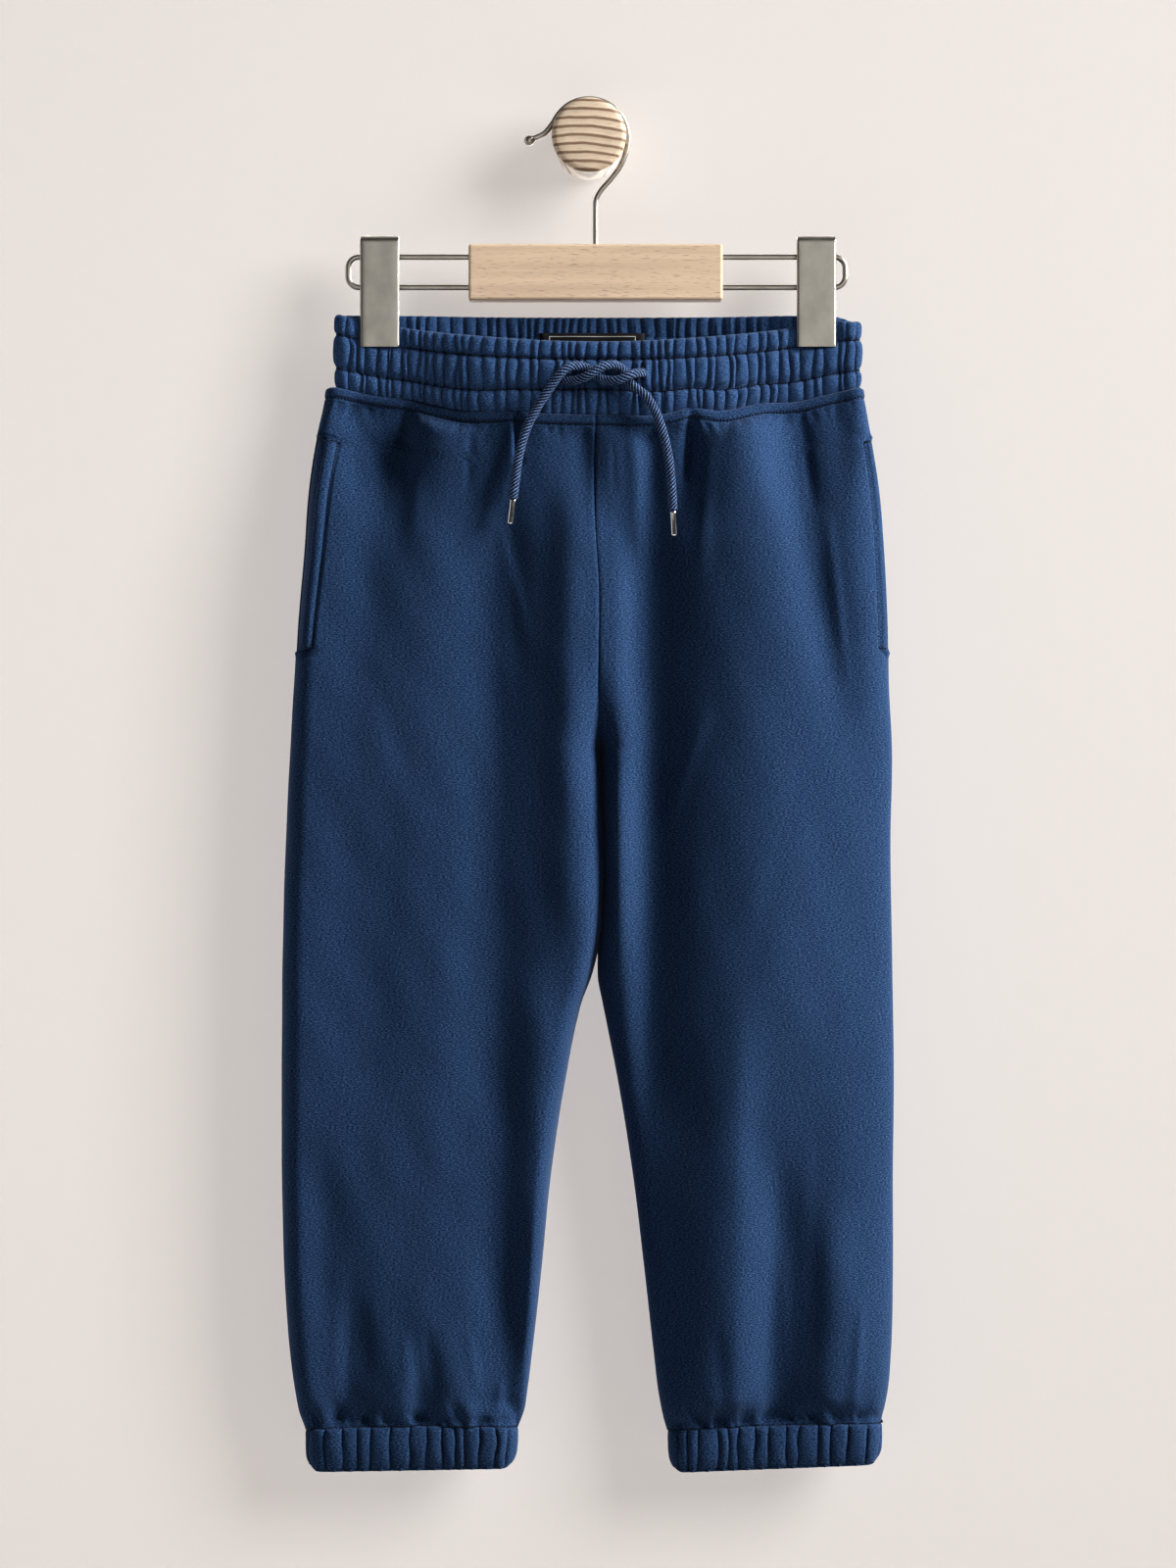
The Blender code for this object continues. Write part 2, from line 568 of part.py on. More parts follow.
def loop_plan(left, right, rounding, front_depth, back_depth):
    """Closed plan path, front from left to right and back again: points, normals, face."""
    power = 2.0 / BLUNT
    turn = np.linspace(0.0, math.pi / 2, 60)
    reach = rounding * (1 - np.cos(turn) ** power)
    roll = np.sin(turn) ** power
    flat = np.linspace(left + rounding, right - rounding, 400)[1:-1]
    x = np.concatenate((left + reach, flat, right - reach[::-1]))
    rolls = np.concatenate((roll, np.ones(len(flat)), roll[::-1]))
    front = np.stack((x, HANG_Y - front_depth(x) * rolls), axis=-1)
    back = np.stack((x, HANG_Y + back_depth(x) * rolls), axis=-1)[::-1]
    path = np.concatenate((front, back[1:-1]))
    face = np.concatenate((-np.ones(len(front)), np.ones(len(back) - 2)))
    run = np.roll(path, -1, axis=0) - np.roll(path, 1, axis=0)
    out = np.stack((run[:, 1], -run[:, 0]), axis=-1)
    return path, out / np.linalg.norm(out, axis=1, keepdims=True), face


def gather_places(pleats, seed):
    """Places along a closed loop, two to a gather, with uneven widths."""
    chance = random.Random(seed)
    widths = []
    for _ in range(pleats):
        width = chance.uniform(0.72, 1.28)
        fold = chance.uniform(0.4, 0.6)
        widths += [width * fold, width * (1 - fold)]
    ends = np.concatenate(([0.0], np.cumsum(widths)))
    return ends[:-1] / ends[-1]


def build_band(name, plan, rows, pleats, every, wall, grip, edge, seed):
    """Closed elastic band: gathers raised in its outer face over a plain inner face."""
    path, out, face = plan
    around = np.vstack((path, path[:1]))
    length = np.concatenate(([0.0], np.cumsum(np.linalg.norm(np.diff(around, axis=0), axis=1))))
    at = gather_places(pleats, seed) * length[-1]
    pick = np.clip(np.searchsorted(length, at), 0, len(path) - 1)
    base, normal, faces = path[pick], out[pick], face[pick]
    sign = np.where(np.arange(len(at)) % 2 == 0, 1.0, -1.0)
    loose = 1.0 - 0.8 * grip(base[:, 0])
    total = rows[-1].drop
    outer = []
    for row in rows:
        swell = (row.out + row.gather * sign) * loose
        spot = base + normal * swell[:, None]
        z = edge(base[:, 0], faces, row.drop / total) - row.drop
        outer.append(np.column_stack((spot, z)))
    inner = []
    for drop in (0.0, total / 2, total):
        low = np.interp(drop, [row.drop for row in rows], [min(row.out, 0.0) for row in rows])
        spot = base[::every] - normal[::every] * (wall - low)
        z = edge(base[::every, 0], faces[::every], drop / total) - drop
        inner.append(np.column_stack((spot, z)))
    bm = bmesh.new()
    outside = add_grid(bm, outer)
    inside = add_grid(bm, inner)
    add_skin(bm, outside, True)
    add_skin(bm, inside, True)
    add_rim(bm, outside[0], inside[0], every, True)
    add_rim(bm, outside[-1], inside[-1], every, True)
    return add_object(name, mesh_from(bm, name), "fleece")


def build_waistband():
    plan = loop_plan(BAND_LEFT, BAND_RIGHT, BAND_ROUND,
                     lambda x: half_depth_at_band(x, -1.0), lambda x: half_depth_at_band(x, 1.0))

    slack = BAND_TOP - BAND_HEIGHT - HEM_Z - HEM_GAP

    def edge(x, face, low):
        return BAND_TOP - slack * low - droop(x, face, low)

    return build_band("waistband", plan, BAND_ROWS, BAND_PLEATS, 4, BAND_WALL, clip_grip, edge, 7)


def build_cuff(cuff, seed):
    def depth(x):
        return np.full_like(x, CUFF_DEPTH)

    def edge(x, face, low):
        t = np.clip((x - cuff.left) / (cuff.right - cuff.left), 0.0, 1.0)
        line = cuff.z_left + (cuff.z_right - cuff.z_left) * t
        arch = cuff.arch * 4 * t * (1 - t) * (1 - low)
        return line + arch - CUFF_GAP - CUFF_TILT * (1 - t) * low

    plan = loop_plan(cuff.left, cuff.right, CUFF_ROUND, depth, depth)
    return build_band("cuff_" + cuff.side, plan, CUFF_ROWS, CUFF_PLEATS, 2, BAND_WALL,
                      lambda x: np.zeros_like(x), edge, seed)


def build_label():
    """Bare woven label on the inner face of the back waistband."""
    x = np.linspace(LABEL_LEFT, LABEL_RIGHT, 8)
    back_y = HANG_Y + half_depth_at_band(x, 1.0) - BAND_WALL - SEAM
    front = [np.column_stack((x, back_y - LABEL, np.full_like(x, z))) for z in LABEL_EDGES]
    back = [np.column_stack((x, back_y, np.full_like(x, z))) for z in LABEL_EDGES]
    return build_wall("label", front, back, "label")


# ---------------------------------------------------------------- wires and cords

def curve_through(points, spacing):
    """Points at an even spacing on a smooth curve through the given ones."""
    points = np.asarray(points, dtype=float)
    chord = np.sqrt(np.linalg.norm(np.diff(points, axis=0), axis=1))
    knots = np.concatenate(([0.0], np.cumsum(chord)))
    slope = np.gradient(points, knots, axis=0)
    fine = np.linspace(0.0, knots[-1], 40 * len(points))
    k = np.clip(np.searchsorted(knots, fine) - 1, 0, len(knots) - 2)
    span = (knots[k + 1] - knots[k])[:, None]
    t = ((fine - knots[k])[:, None]) / span
    rest = 1.0 - t
    dense = (points[k] * (1 + 2 * t) * rest ** 2 + points[k + 1] * t ** 2 * (3 - 2 * t)
             + slope[k] * span * t * rest ** 2 - slope[k + 1] * span * t ** 2 * rest)
    length = np.concatenate(([0.0], np.cumsum(np.linalg.norm(np.diff(dense, axis=0), axis=1))))
    count = max(2, round(length[-1] / spacing) + 1)
    at = np.linspace(0.0, length[-1], count)
    return np.column_stack([np.interp(at, length, dense[:, c]) for c in range(3)])


def build_wire(name, points, diameter, finish, swell=None):
    """Round wire or cord along the points; swell scales the radius at each one."""
    curve = bpy.data.curves.new(name, "CURVE")
    curve.dimensions = "3D"
    curve.bevel_depth = diameter / 2 * MM
    curve.bevel_resolution = 2
    curve.use_fill_caps = True
    spline = curve.splines.new("POLY")
    spline.points.add(len(points) - 1)
    for i, point in enumerate(points):
        spline.points[i].co = (*[c * MM for c in point], 1.0)
        spline.points[i].radius = swell[i] if swell else 1.0
    return add_object(name, curve, finish)


def build_strand(side, route):
    """One free end of the drawcord and the metal tip that closes it."""
    points = curve_through(route, CORD_STEP)
    build_wire("drawcord_" + side, points, CORD, "cord")
    way = points[-1] - points[-2]
    way = way / np.linalg.norm(way)
    start = points[-1] + way * SEAM
    steps = [start + way * TIP_LENGTH * t for t in (0.0, 0.04, 0.96, 1.0)]
    build_wire("tip_" + side, steps, 2 * TIP_RADIUS, "tip", [0.85, 1.0, 1.0, 0.85])


def build_rail(side, end_x, block_end):
    """U-shaped rail wire whose two rods enter the block."""
    way = 1 if end_x > block_end else -1
    rod_start = block_end - way * (BORE_DEPTH - 1.0)
    turn_x = end_x - way * RAIL_CORNER
    points = [(rod_start, WIRE_Y, ROD_TOP)]
    for centre_z, start in ((ROD_TOP - RAIL_CORNER, 90), (ROD_BOTTOM + RAIL_CORNER, 0)):
        for angle in np.radians(np.linspace(start, start - 90, 5)):
            points.append((turn_x + way * RAIL_CORNER * math.cos(angle), WIRE_Y,
                           centre_z + RAIL_CORNER * math.sin(angle)))
    points.append((rod_start, WIRE_Y, ROD_BOTTOM))
    build_wire("wire_" + side, points, WIRE, "nickel")


def build_hook():
    """Hook wire from its bore in the block, over the knob, to its ball end."""
    wire = curve_through([(x, WIRE_Y, z) for x, z in HOOK_ROUTE], HOOK_STEP)
    way = (wire[-1] - wire[-2]) / np.linalg.norm(wire[-1] - wire[-2])
    centre = wire[-1] + way * HOOK_BALL
    ball = [centre + way * HOOK_BALL * t for t in BALL_STEPS]
    swell = [1.0] * len(wire)
    swell += [HOOK_BALL * math.sqrt(1 - t * t) / (HOOK_WIRE / 2) for t in BALL_STEPS]
    build_wire("hook", list(wire) + ball, HOOK_WIRE, "nickel", swell)


# ---------------------------------------------------------------- hanger and knob

def cut_bore(target, name, place, axis, radius, length):
    """Round blind bore cut with a cylinder that starts at place and runs along axis."""
    bpy.ops.mesh.primitive_cylinder_add(vertices=16, radius=radius * MM, depth=length * MM)
    cutter = bpy.context.object
    cutter.name = name
    cutter.rotation_euler = (0.0, math.pi / 2, 0.0) if axis == "x" else (0.0, 0.0, 0.0)
    cutter.location = [c * MM for c in place]
    cutter.hide_render = True
    cutter.display_type = "WIRE"
    for collection in list(cutter.users_collection):
        collection.objects.unlink(cutter)
    bpy.data.collections["cutters"].objects.link(cutter)
    boolean = target.modifiers.new(name, "BOOLEAN")
    boolean.operation = "DIFFERENCE"
    boolean.object = cutter


def build_block():
    bpy.ops.mesh.primitive_cube_add(size=1.0)
    block = bpy.context.object
    block.name = "hanger_block"
    block.scale = [s * MM for s in BLOCK]
    block.location = (HANGER_X * MM, WIRE_Y * MM, BLOCK_Z * MM)
    bpy.ops.object.transform_apply(location=True, rotation=False, scale=True)
    for collection in list(block.users_collection):
        collection.objects.unlink(block)
    bpy.data.collections["jogger_on_hanger"].objects.link(block)
    block.data.materials.append(MATERIALS["block_wood"])
    edge = block.modifiers.new("chamfer", "BEVEL")
    edge.width = BLOCK_EDGE * MM
    edge.segments = 2
    for way in (-1, 1):
        end = HANGER_X + way * BLOCK[0] / 2
        for label, z in (("upper", ROD_TOP), ("lower", ROD_BOTTOM)):
            cut_bore(block, f"bore_{label}_{way}", (end, WIRE_Y, z), "x",
                     WIRE / 2 + SEAM, 2 * BORE_DEPTH)
    cut_bore(block, "bore_hook", (HANGER_X, WIRE_Y, BLOCK_Z + BLOCK[2] / 2), "z",
             HOOK_WIRE / 2 + SEAM, 2 * HOOK_BORE)


def build_clip(side, x):
    """Sheet-metal clip: a front jaw with turned edges, bent over the rails to a back jaw."""
    half = CLIP_WIDTH / 2
    reach = JAW + SHEET / 2
    top = CLIP_TOP - SHEET / 2
    turn = [(1 - math.cos(a), 1 - math.sin(a)) for a in (0, math.pi / 4, math.pi / 2)]
    over = [(HANG_Y - reach + CLIP_BEND * y, top - CLIP_BEND * z) for y, z in turn]
    under = [(HANG_Y + reach - CLIP_BEND * y, top - CLIP_BEND * z) for y, z in reversed(turn)]
    profile = [(HANG_Y - reach, CLIP_FRONT_END)] + over + under
    profile.append((HANG_Y + reach, CLIP_BACK_END))
    bm = bmesh.new()
    grid = add_grid(bm, [[(x - half, y, z), (x + half, y, z)] for y, z in profile])
    add_skin(bm, grid, False)
    for column, way in ((0, -1), (1, 1)):
        lower, upper = grid[0][column], grid[1][column]
        edges = [bm.verts.new((v.co.x + way * FLARE * MM, v.co.y + FLANGE * MM, v.co.z))
                 for v in (lower, upper)]
        bm.faces.new((lower, upper, edges[1], edges[0]))
    clip = add_object("clip_" + side, mesh_from(bm, "clip_" + side), "nickel")
    wall = clip.modifiers.new("sheet", "SOLIDIFY")
    wall.thickness = SHEET * MM
    wall.offset = 0.0
    wall.use_even_offset = True


def build_knob():
    """Turned knob: a profile from the face's centre down its side to the wall."""
    bm = bmesh.new()
    verts = [bm.verts.new((row.radius * MM, 0.0, row.out * MM)) for row in KNOB_PROFILE]
    for a, b in zip(verts, verts[1:]):
        bm.edges.new((a, b))
    mesh = bpy.data.meshes.new("knob")
    bm.to_mesh(mesh)
    bm.free()
    knob = add_object("knob", mesh, "knob_wood")
    knob.rotation_euler = (math.pi / 2, 0.0, 0.0)
    turn = knob.modifiers.new("turning", "SCREW")
    turn.steps = KNOB_SIDES
    turn.render_steps = KNOB_SIDES
    turn.axis = "Z"
    turn.use_merge_vertices = True
    turn.merge_threshold = 0.00001


def clear_scene():
    for obj in list(bpy.data.objects):
        bpy.data.objects.remove(obj, do_unlink=True)
    for name in ("jogger_on_hanger", "cutters"):
        collection = bpy.data.collections.new(name)
        bpy.context.scene.collection.children.link(collection)


def build_trousers():
    for side, label in ((-1, "left"), (1, "right")):
        build_panel("front_" + label, side, -1)
        build_panel("back_" + label, side, 1)
        build_facing("pocket_" + label, side)
    build_waistband()
    for seed, cuff in enumerate(CUFFS, start=21):
        build_cuff(cuff, seed)
    build_label()
    build_strand("left", LEFT_STRAND)
    build_strand("right", RIGHT_STRAND)


def build_hanger():
    build_block()
    build_rail("left", RAIL_LEFT, HANGER_X - BLOCK[0] / 2)
    build_rail("right", RAIL_RIGHT, HANGER_X + BLOCK[0] / 2)
    build_clip("left", CLIP_LEFT_X)
    build_clip("right", CLIP_RIGHT_X)
    build_hook()
    build_knob()


clear_scene()
MATERIALS = {name: new_material(name) for name in FINISHES}
build_trousers()
build_hanger()
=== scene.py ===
"""Looks of a child's fleece joggers, held by a clip hanger on a round wall knob.

Laid out as a Blender add-on and run as a script. The frame's origin is the centre of the
knob's wall face, +X is right as seen from the front, +Y goes into the wall and +Z is up.
Sizes are millimetres here and metres in the meshes.
"""

import math
import random
from collections import namedtuple

import bmesh
import bpy
import numpy as np
from bpy.props import FloatProperty, FloatVectorProperty, PointerProperty
from mathutils import Matrix, Vector


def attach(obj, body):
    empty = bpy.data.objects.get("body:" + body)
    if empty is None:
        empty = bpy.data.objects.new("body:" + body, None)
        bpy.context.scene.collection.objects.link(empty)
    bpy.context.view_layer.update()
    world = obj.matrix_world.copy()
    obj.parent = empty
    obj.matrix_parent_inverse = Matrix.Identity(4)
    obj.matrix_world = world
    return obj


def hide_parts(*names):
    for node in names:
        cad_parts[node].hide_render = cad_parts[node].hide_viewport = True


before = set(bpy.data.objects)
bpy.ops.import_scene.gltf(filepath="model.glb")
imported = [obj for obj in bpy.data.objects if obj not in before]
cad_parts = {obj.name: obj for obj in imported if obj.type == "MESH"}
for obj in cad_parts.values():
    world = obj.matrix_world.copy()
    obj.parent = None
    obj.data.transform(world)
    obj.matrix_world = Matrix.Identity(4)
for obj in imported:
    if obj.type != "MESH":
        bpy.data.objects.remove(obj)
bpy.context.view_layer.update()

bl_info = {
    "name": "Fleece joggers on a clip hanger",
    "version": (1, 0, 0),
    "blender": (4, 5, 0),
    "location": "View3D > Sidebar > Joggers",
    "description": "Builds the cloth, cords, metal and wood of a hanging pair of joggers",
    "category": "Object",
}

MM = 0.001

# ---- cloth ----
FLEECE = 2.0               # wall of the brushed fleece
SEAM = 0.3                 # open gap between neighbouring pieces
HANG_Y = -38.0             # depth at which side seams and inseams hang
BLUNT = 2.4                # roundness of a hanging fold, 2 is an ellipse

# ---- heights, from the knob's centre ----
BAND_TOP = -90.7           # straight back edge of the waistband
BAND_HEIGHT = 36.4
HEM_Z = -128.0             # body's top edge at the side seams
HEM_GAP = 0.6
POCKET_TOP = -151.0
POCKET_END = -266.0
CROTCH_OPEN = -250.0       # the crotch seam starts to turn in
CROTCH_Z = -312.0
CUFF_Z = -657.8            # seam between leg and cuff

# ---- waistband, plan ----
BAND_LEFT = -128.8
BAND_RIGHT = 137.8
BAND_ROUND = 9.0
FRONT_OPEN = 17.0
BACK_OPEN = 9.0
SIDE_OPEN = 7.0
HELD = 3.5
OPEN_SPREAD = 34.0
END_SPREAD = 10.0
GRIP_FADE = 6.0
DROOP_FRONT = 15.0
DROOP_BACK = 0.6
DROOP_FADE = 110.0
RIGHT_SAG = 3.5
SAG_START = 6.0
SAG_SPREAD = 16.0
BODY_PROUD = 0.7
BODY_FADE = 85.0
Dip = namedtuple("Dip", "x drop width")
HEM_DIPS = (
    Dip(-91, -1.0, 9), Dip(-62, 1.6, 15), Dip(-38, -1.0, 5), Dip(30, 1.0, 12),
    Dip(52, -1.8, 8), Dip(69, 1.0, 9), Dip(88, -0.8, 8), Dip(107, 1.0, 10),
)
ROW_LIFT = 5.0             # the middle of the waistband is pulled up by its cord
ROW_LIFT_SPREAD = 45.0
CROTCH_EASE = 25.0
SEAM_TUCK = 1.6            # the left panels' centre edges run under the right ones
SEAM_DEPTH = 2.4
PRESS = 0.3                # the legs' soft inner folds press on each other

# ---- label ----
LABEL_LEFT = -25.0
LABEL_RIGHT = 28.5
LABEL_EDGES = (-99.4, -121.5)
LABEL_PROUD = 1.5          # it lies over the gathers of the inner face
TAPE = 0.6

# ---- hanger ----
WIRE_Y = -34.5
WIRE = 3.0
ROD_TOP = -60.8
ROD_BOTTOM = -76.3
RAIL_LEFT = -123.0
RAIL_RIGHT = 131.0
RAIL_CORNER = 5.5
HANGER_X = 3.4
BLOCK = (129.5, 14.0, 28.5)
BORE_DEPTH = 18.0
CLIP_LEFT_X = -106.5
CLIP_RIGHT_X = 115.8
CLIP_WIDTH = 19.0
CLIP_TOP = -50.8
CLIP_FRONT_END = -107.5
CLIP_BACK_END = -101.0
SHEET = 1.2
JAW = 5.3
CLIP_BEND = 3.0
CLIP_STEP = 1.6            # between the rows of points along its profile
CLIP_LIP = 0.8             # its front's long edges turn in with this radius
HOOK_WIRE = 2.8
HOOK_BALL = 2.7
KNOB_LENGTH = 50.0
KNOB_SEAT = 18.3

# ---- drawcord ----
CORD = 4.6
BRAID_YARNS = 6            # yarns that run each way round
BRAID_PITCH = 1.9
TIP_RADIUS = 1.7
TIP_LENGTH = 13.0
Ring = namedtuple("Ring", "along wide")
TIP_PROFILE = (
    Ring(0.0, 0.7), Ring(0.03, 0.98), Ring(0.06, 1.08), Ring(0.10, 1.0), Ring(0.90, 1.0),
    Ring(0.95, 0.98), Ring(0.985, 0.85), Ring(1.0, 0.5),
)

# Outer side of the body, seam to seam, at each height.
Outline = namedtuple("Outline", "z left right")
OUTLINE = (
    Outline(-128, -133.6, 139.6), Outline(-142, -136.5, 142.0), Outline(-154, -139.0, 144.0),
    Outline(-180, -143.0, 148.0), Outline(-210, -145.2, 150.5), Outline(-250, -148.6, 152.5),
    Outline(-280, -150.2, 153.0), Outline(-310, -152.0, 154.5), Outline(-360, -154.5, 153.8),
    Outline(-417, -156.0, 154.6), Outline(-480, -156.6, 155.5), Outline(-530, -156.5, 155.0),
    Outline(-580, -155.0, 155.0), Outline(-620, -152.2, 154.0), Outline(-640, -149.5, 152.4),
    Outline(-650, -147.5, 150.6), Outline(-658, -144.6, 148.8),
)

# Line midway between the legs, and half the gap between them.
Middle = namedtuple("Middle", "z x gap")
MIDDLE = (
    Middle(-128, 3.7, 0.0), Middle(-190, 3.2, 0.0), Middle(-230, 5.2, 0.0),
    Middle(-290, 5.0, 0.0), Middle(-312, 6.0, 0.0), Middle(-335, 6.8, -1.2),
    Middle(-400, 6.2, -1.2), Middle(-418, 4.2, 0.2), Middle(-430, 2.6, 2.0),
    Middle(-440, 1.6, 5.0), Middle(-450, 1.3, 7.3), Middle(-480, 1.3, 13.2),
    Middle(-530, 1.5, 21.0), Middle(-580, 2.0, 26.5), Middle(-620, 2.0, 31.0),
    Middle(-640, 2.0, 33.5), Middle(-650, 2.2, 35.3), Middle(-658, 1.8, 37.8),
)

# Half depths of front and back, and how far the rounding of the side folds and of the
# inner folds reaches in on the left and the right half.
Depth = namedtuple("Depth", "z front back outer_left outer_right inner_left inner_right")
DEPTH = (
    Depth(-128, 17.0, 12.0, 9, 9, 26, 26), Depth(-155, 17.0, 12.5, 8, 11, 26, 26),
    Depth(-185, 17.5, 14.0, 9, 18, 26, 26), Depth(-220, 18.0, 15.5, 10, 27, 26, 26),
    Depth(-265, 18.5, 17.0, 11, 33, 26, 26), Depth(-312, 19.5, 18.5, 12, 35, 24, 26),
    Depth(-417, 20.0, 19.0, 12, 34, 12, 27), Depth(-530, 19.0, 18.5, 12, 32, 8, 30),
    Depth(-610, 17.5, 17.5, 12, 30, 8, 28), Depth(-640, 15.0, 15.0, 12, 26, 9, 24),
    Depth(-658, 11.0, 11.0, 12, 20, 10, 20),
)

# Hanging folds: a line from top to bottom, its rise towards the outside, the widths of
# its two flanks, and the length over which it fades away at the bottom.
Fold = namedtuple("Fold", "x_top z_top x_end z_end rise left right fade")
FRONT_FOLDS = (
    Fold(-104, -128, -118, -330, -3.8, 17, 18, 110),
    Fold(-104, -129, -104, -200, -1.6, 6, 6, 40),
    Fold(-84, -128, -88, -230, 5.6, 8, 34, 90),
    Fold(-78, -128, -80, -180, 3.2, 8, 15, 40),
    Fold(-115, -320, -112, -540, -2.4, 18, 26, 90),
    Fold(-49, -145, -48, -520, -4.6, 20, 14, 90),
    Fold(-40, -145, -34, -330, -1.2, 5, 7, 90),
    Fold(-30, -128, -32, -180, -0.8, 4, 5, 40),
    Fold(-8, -150, -8, -440, 6.0, 13, 18, 60),
    Fold(-4, -128, 0, -190, -2.5, 7, 5, 50),
    Fold(12, -128, 14, -190, 2.0, 6, 6, 40),
    Fold(22, -160, 22, -320, -2.5, 6, 8, 60),
    Fold(13, -290, 14, -440, 6.0, 6, 7, 60),
    Fold(15, -190, 15, -400, 1.5, 8, 7, 60),
    Fold(33, -128, 32, -520, -7.6, 10, 15, 90),
    Fold(38, -128, 40, -200, 1.4, 5, 6, 50),
    Fold(52, -128, 49, -210, -4.2, 6, 16, 50),
    Fold(84, -128, 84, -520, 7.0, 30, 34, 90),
    Fold(86, -128, 86, -200, 3.0, 24, 9, 40),
    Fold(92, -128, 137, -330, -5.0, 11, 15, 90),
    Fold(104, -128, 112, -215, -3.2, 8, 16, 50),
    Fold(150, -260, 150, -600, -5.0, 32, 10, 60),
    Fold(-46, -430, -41, -654, -3.8, 24, 13, 12),
    Fold(-39, -530, -36, -658, -4.2, 14, 7, 10),
    Fold(-22, -420, -34, -654, 2.0, 12, 7, 15),
    Fold(-135, -500, -130, -658, -2.0, 9, 12, 10),
    Fold(-118, -560, -122, -658, -3.0, 6, 12, 10),
    Fold(-98, -600, -94, -658, 2.0, 8, 6, 10),
    Fold(-88, -600, -85, -658, -3.0, 6, 8, 10),
    Fold(-70, -590, -66, -658, 2.0, 10, 9, 10),
    Fold(31, -430, 36, -652, -4.0, 11, 20, 30),
    Fold(74, -430, 72, -656, 5.5, 22, 12, 15),
    Fold(98, -500, 94, -658, -4.8, 9, 15, 12),
    Fold(124, -520, 121, -656, 3.0, 11, 14, 15),
)
BACK_FOLDS = (
    Fold(-88, -128, -94, -380, 5.5, 20, 14, 140),
    Fold(-58, -128, -46, -350, -5.5, 13, 11, 120),
    Fold(-22, -128, -15, -300, 5.0, 12, 14, 90),
    Fold(4.5, -128, 5, -300, -3.5, 10, 10, 50),
    Fold(34, -128, 30, -380, 6.0, 12, 16, 120),
    Fold(66, -128, 62, -420, -6.0, 12, 15, 150),
    Fold(98, -128, 108, -360, 5.5, 18, 14, 120),
    Fold(-118, -330, -112, -600, 4.0, 18, 14, 120),
    Fold(-72, -400, -70, -652, -5.0, 14, 12, 30),
    Fold(-40, -430, -44, -640, 4.0, 12, 12, 50),
    Fold(-98, -560, -94, -658, -4.5, 9, 8, 10),
    Fold(50, -420, 56, -645, 5.0, 14, 10, 50),
    Fold(80, -400, 82, -654, -5.5, 12, 13, 25),
    Fold(112, -480, 108, -656, 4.5, 14, 9, 20),
    Fold(128, -560, 125, -658, -4.0, 8, 8, 10),
)
FOLD_START = 12.0
FOLD_EASE = 60.0
THIN = 3.2
PUCKER_PITCH = 15.0
PUCKER_RISE = 0.8
PUCKER_LENGTH = 13.0
PUCKER_DRIFT = 2.5
PUCKER_ROUND = 11.0

SIDES = ((-1, "left"), (1, "right"))

# Finer creases of each face: two ends, rise of its middle, half width of each flank.
Crease = namedtuple("Crease", "x_top z_top x_end z_end rise left right")
FRONT_CREASES = (
    Crease(-92, -140, -97, -215, -0.4, 4.0, 6.0),
    Crease(-59, -132, -62, -175, -1.0, 2.0, 3.0),
    Crease(-38.0, -126, -36.5, -160, -3.4, 1.6, 3.0),
    Crease(-93.0, -126, -97.0, -158, -1.2, 2.4, 4.0),
    Crease(-46, -190, -30, -262, 0.9, 5.0, 3.0),
    Crease(12, -136, 13, -176, -0.7, 2.0, 2.0),
    Crease(52, -126, 49, -170, -3.0, 2.0, 3.4),
    Crease(62, -134, 56, -228, 0.9, 3.0, 4.5),
    Crease(108, -130, 114, -190, -1.2, 2.6, 3.2),
    Crease(120, -188, 131, -282, 1.0, 4.0, 3.0),
    Crease(-110, -270, -88, -340, -0.3, 5.0, 6.0),
    Crease(-60, -300, -38, -372, 0.3, 6.0, 5.0),
    Crease(60, -290, 36, -360, 0.9, 5.0, 4.0),
    Crease(104, -330, 84, -420, -0.4, 6.0, 7.0),
    Crease(2, -284, 10, -290, 0.8, 3.0, 3.0),
    Crease(-94, -608, -90, -642, 0.8, 3.0, 4.0),
    Crease(-62, -604, -56, -642, 0.7, 3.0, 3.0),
    Crease(-45, -632, -46, -650, 1.0, 2.5, 2.5),
    Crease(-82, -606, -77, -645, -0.8, 3.0, 4.0),
    Crease(-117, -590, -112, -636, -0.8, 4.0, 5.0),
    Crease(117, -505, 112, -640, -0.8, 5.0, 8.0),
    Crease(98, -560, 99, -632, 0.7, 6.0, 4.0),
    Crease(64, -604, 68, -645, -0.6, 4.0, 4.0),
    Crease(138, -590, 134, -648, 1.0, 3.0, 3.0),
)
BACK_CREASES = (
    Crease(-104, -132, -98, -190, -1.1, 3.0, 4.0),
    Crease(-44, -130, -38, -204, 1.0, 3.0, 4.0),
    Crease(-8, -132, -6, -186, -1.2, 2.4, 3.0),
    Crease(22, -130, 24, -176, -1.1, 2.4, 3.0),
    Crease(52, -132, 46, -214, 1.0, 4.0, 3.0),
    Crease(82, -130, 88, -196, -1.2, 3.0, 3.0),
    Crease(118, -134, 124, -220, 0.9, 4.0, 3.0),
    Crease(-100, -280, -76, -350, -0.9, 5.0, 5.0),
    Crease(-52, -310, -28, -372, 0.9, 5.0, 4.0),
    Crease(58, -300, 36, -366, 0.9, 4.0, 5.0),
    Crease(108, -340, 84, -410, -0.9, 5.0, 5.0),
    Crease(-58, -585, -58, -642, 1.2, 3.0, 2.4),
    Crease(-82, -590, -84, -645, -1.2, 3.0, 3.0),
    Crease(-116, -575, -112, -640, 1.2, 4.0, 3.0),
    Crease(66, -585, 68, -645, -1.2, 3.0, 3.0),
    Crease(96, -570, 97, -640, 1.3, 4.0, 2.4),
    Crease(118, -560, 116, -640, -1.3, 3.0, 4.0),
)
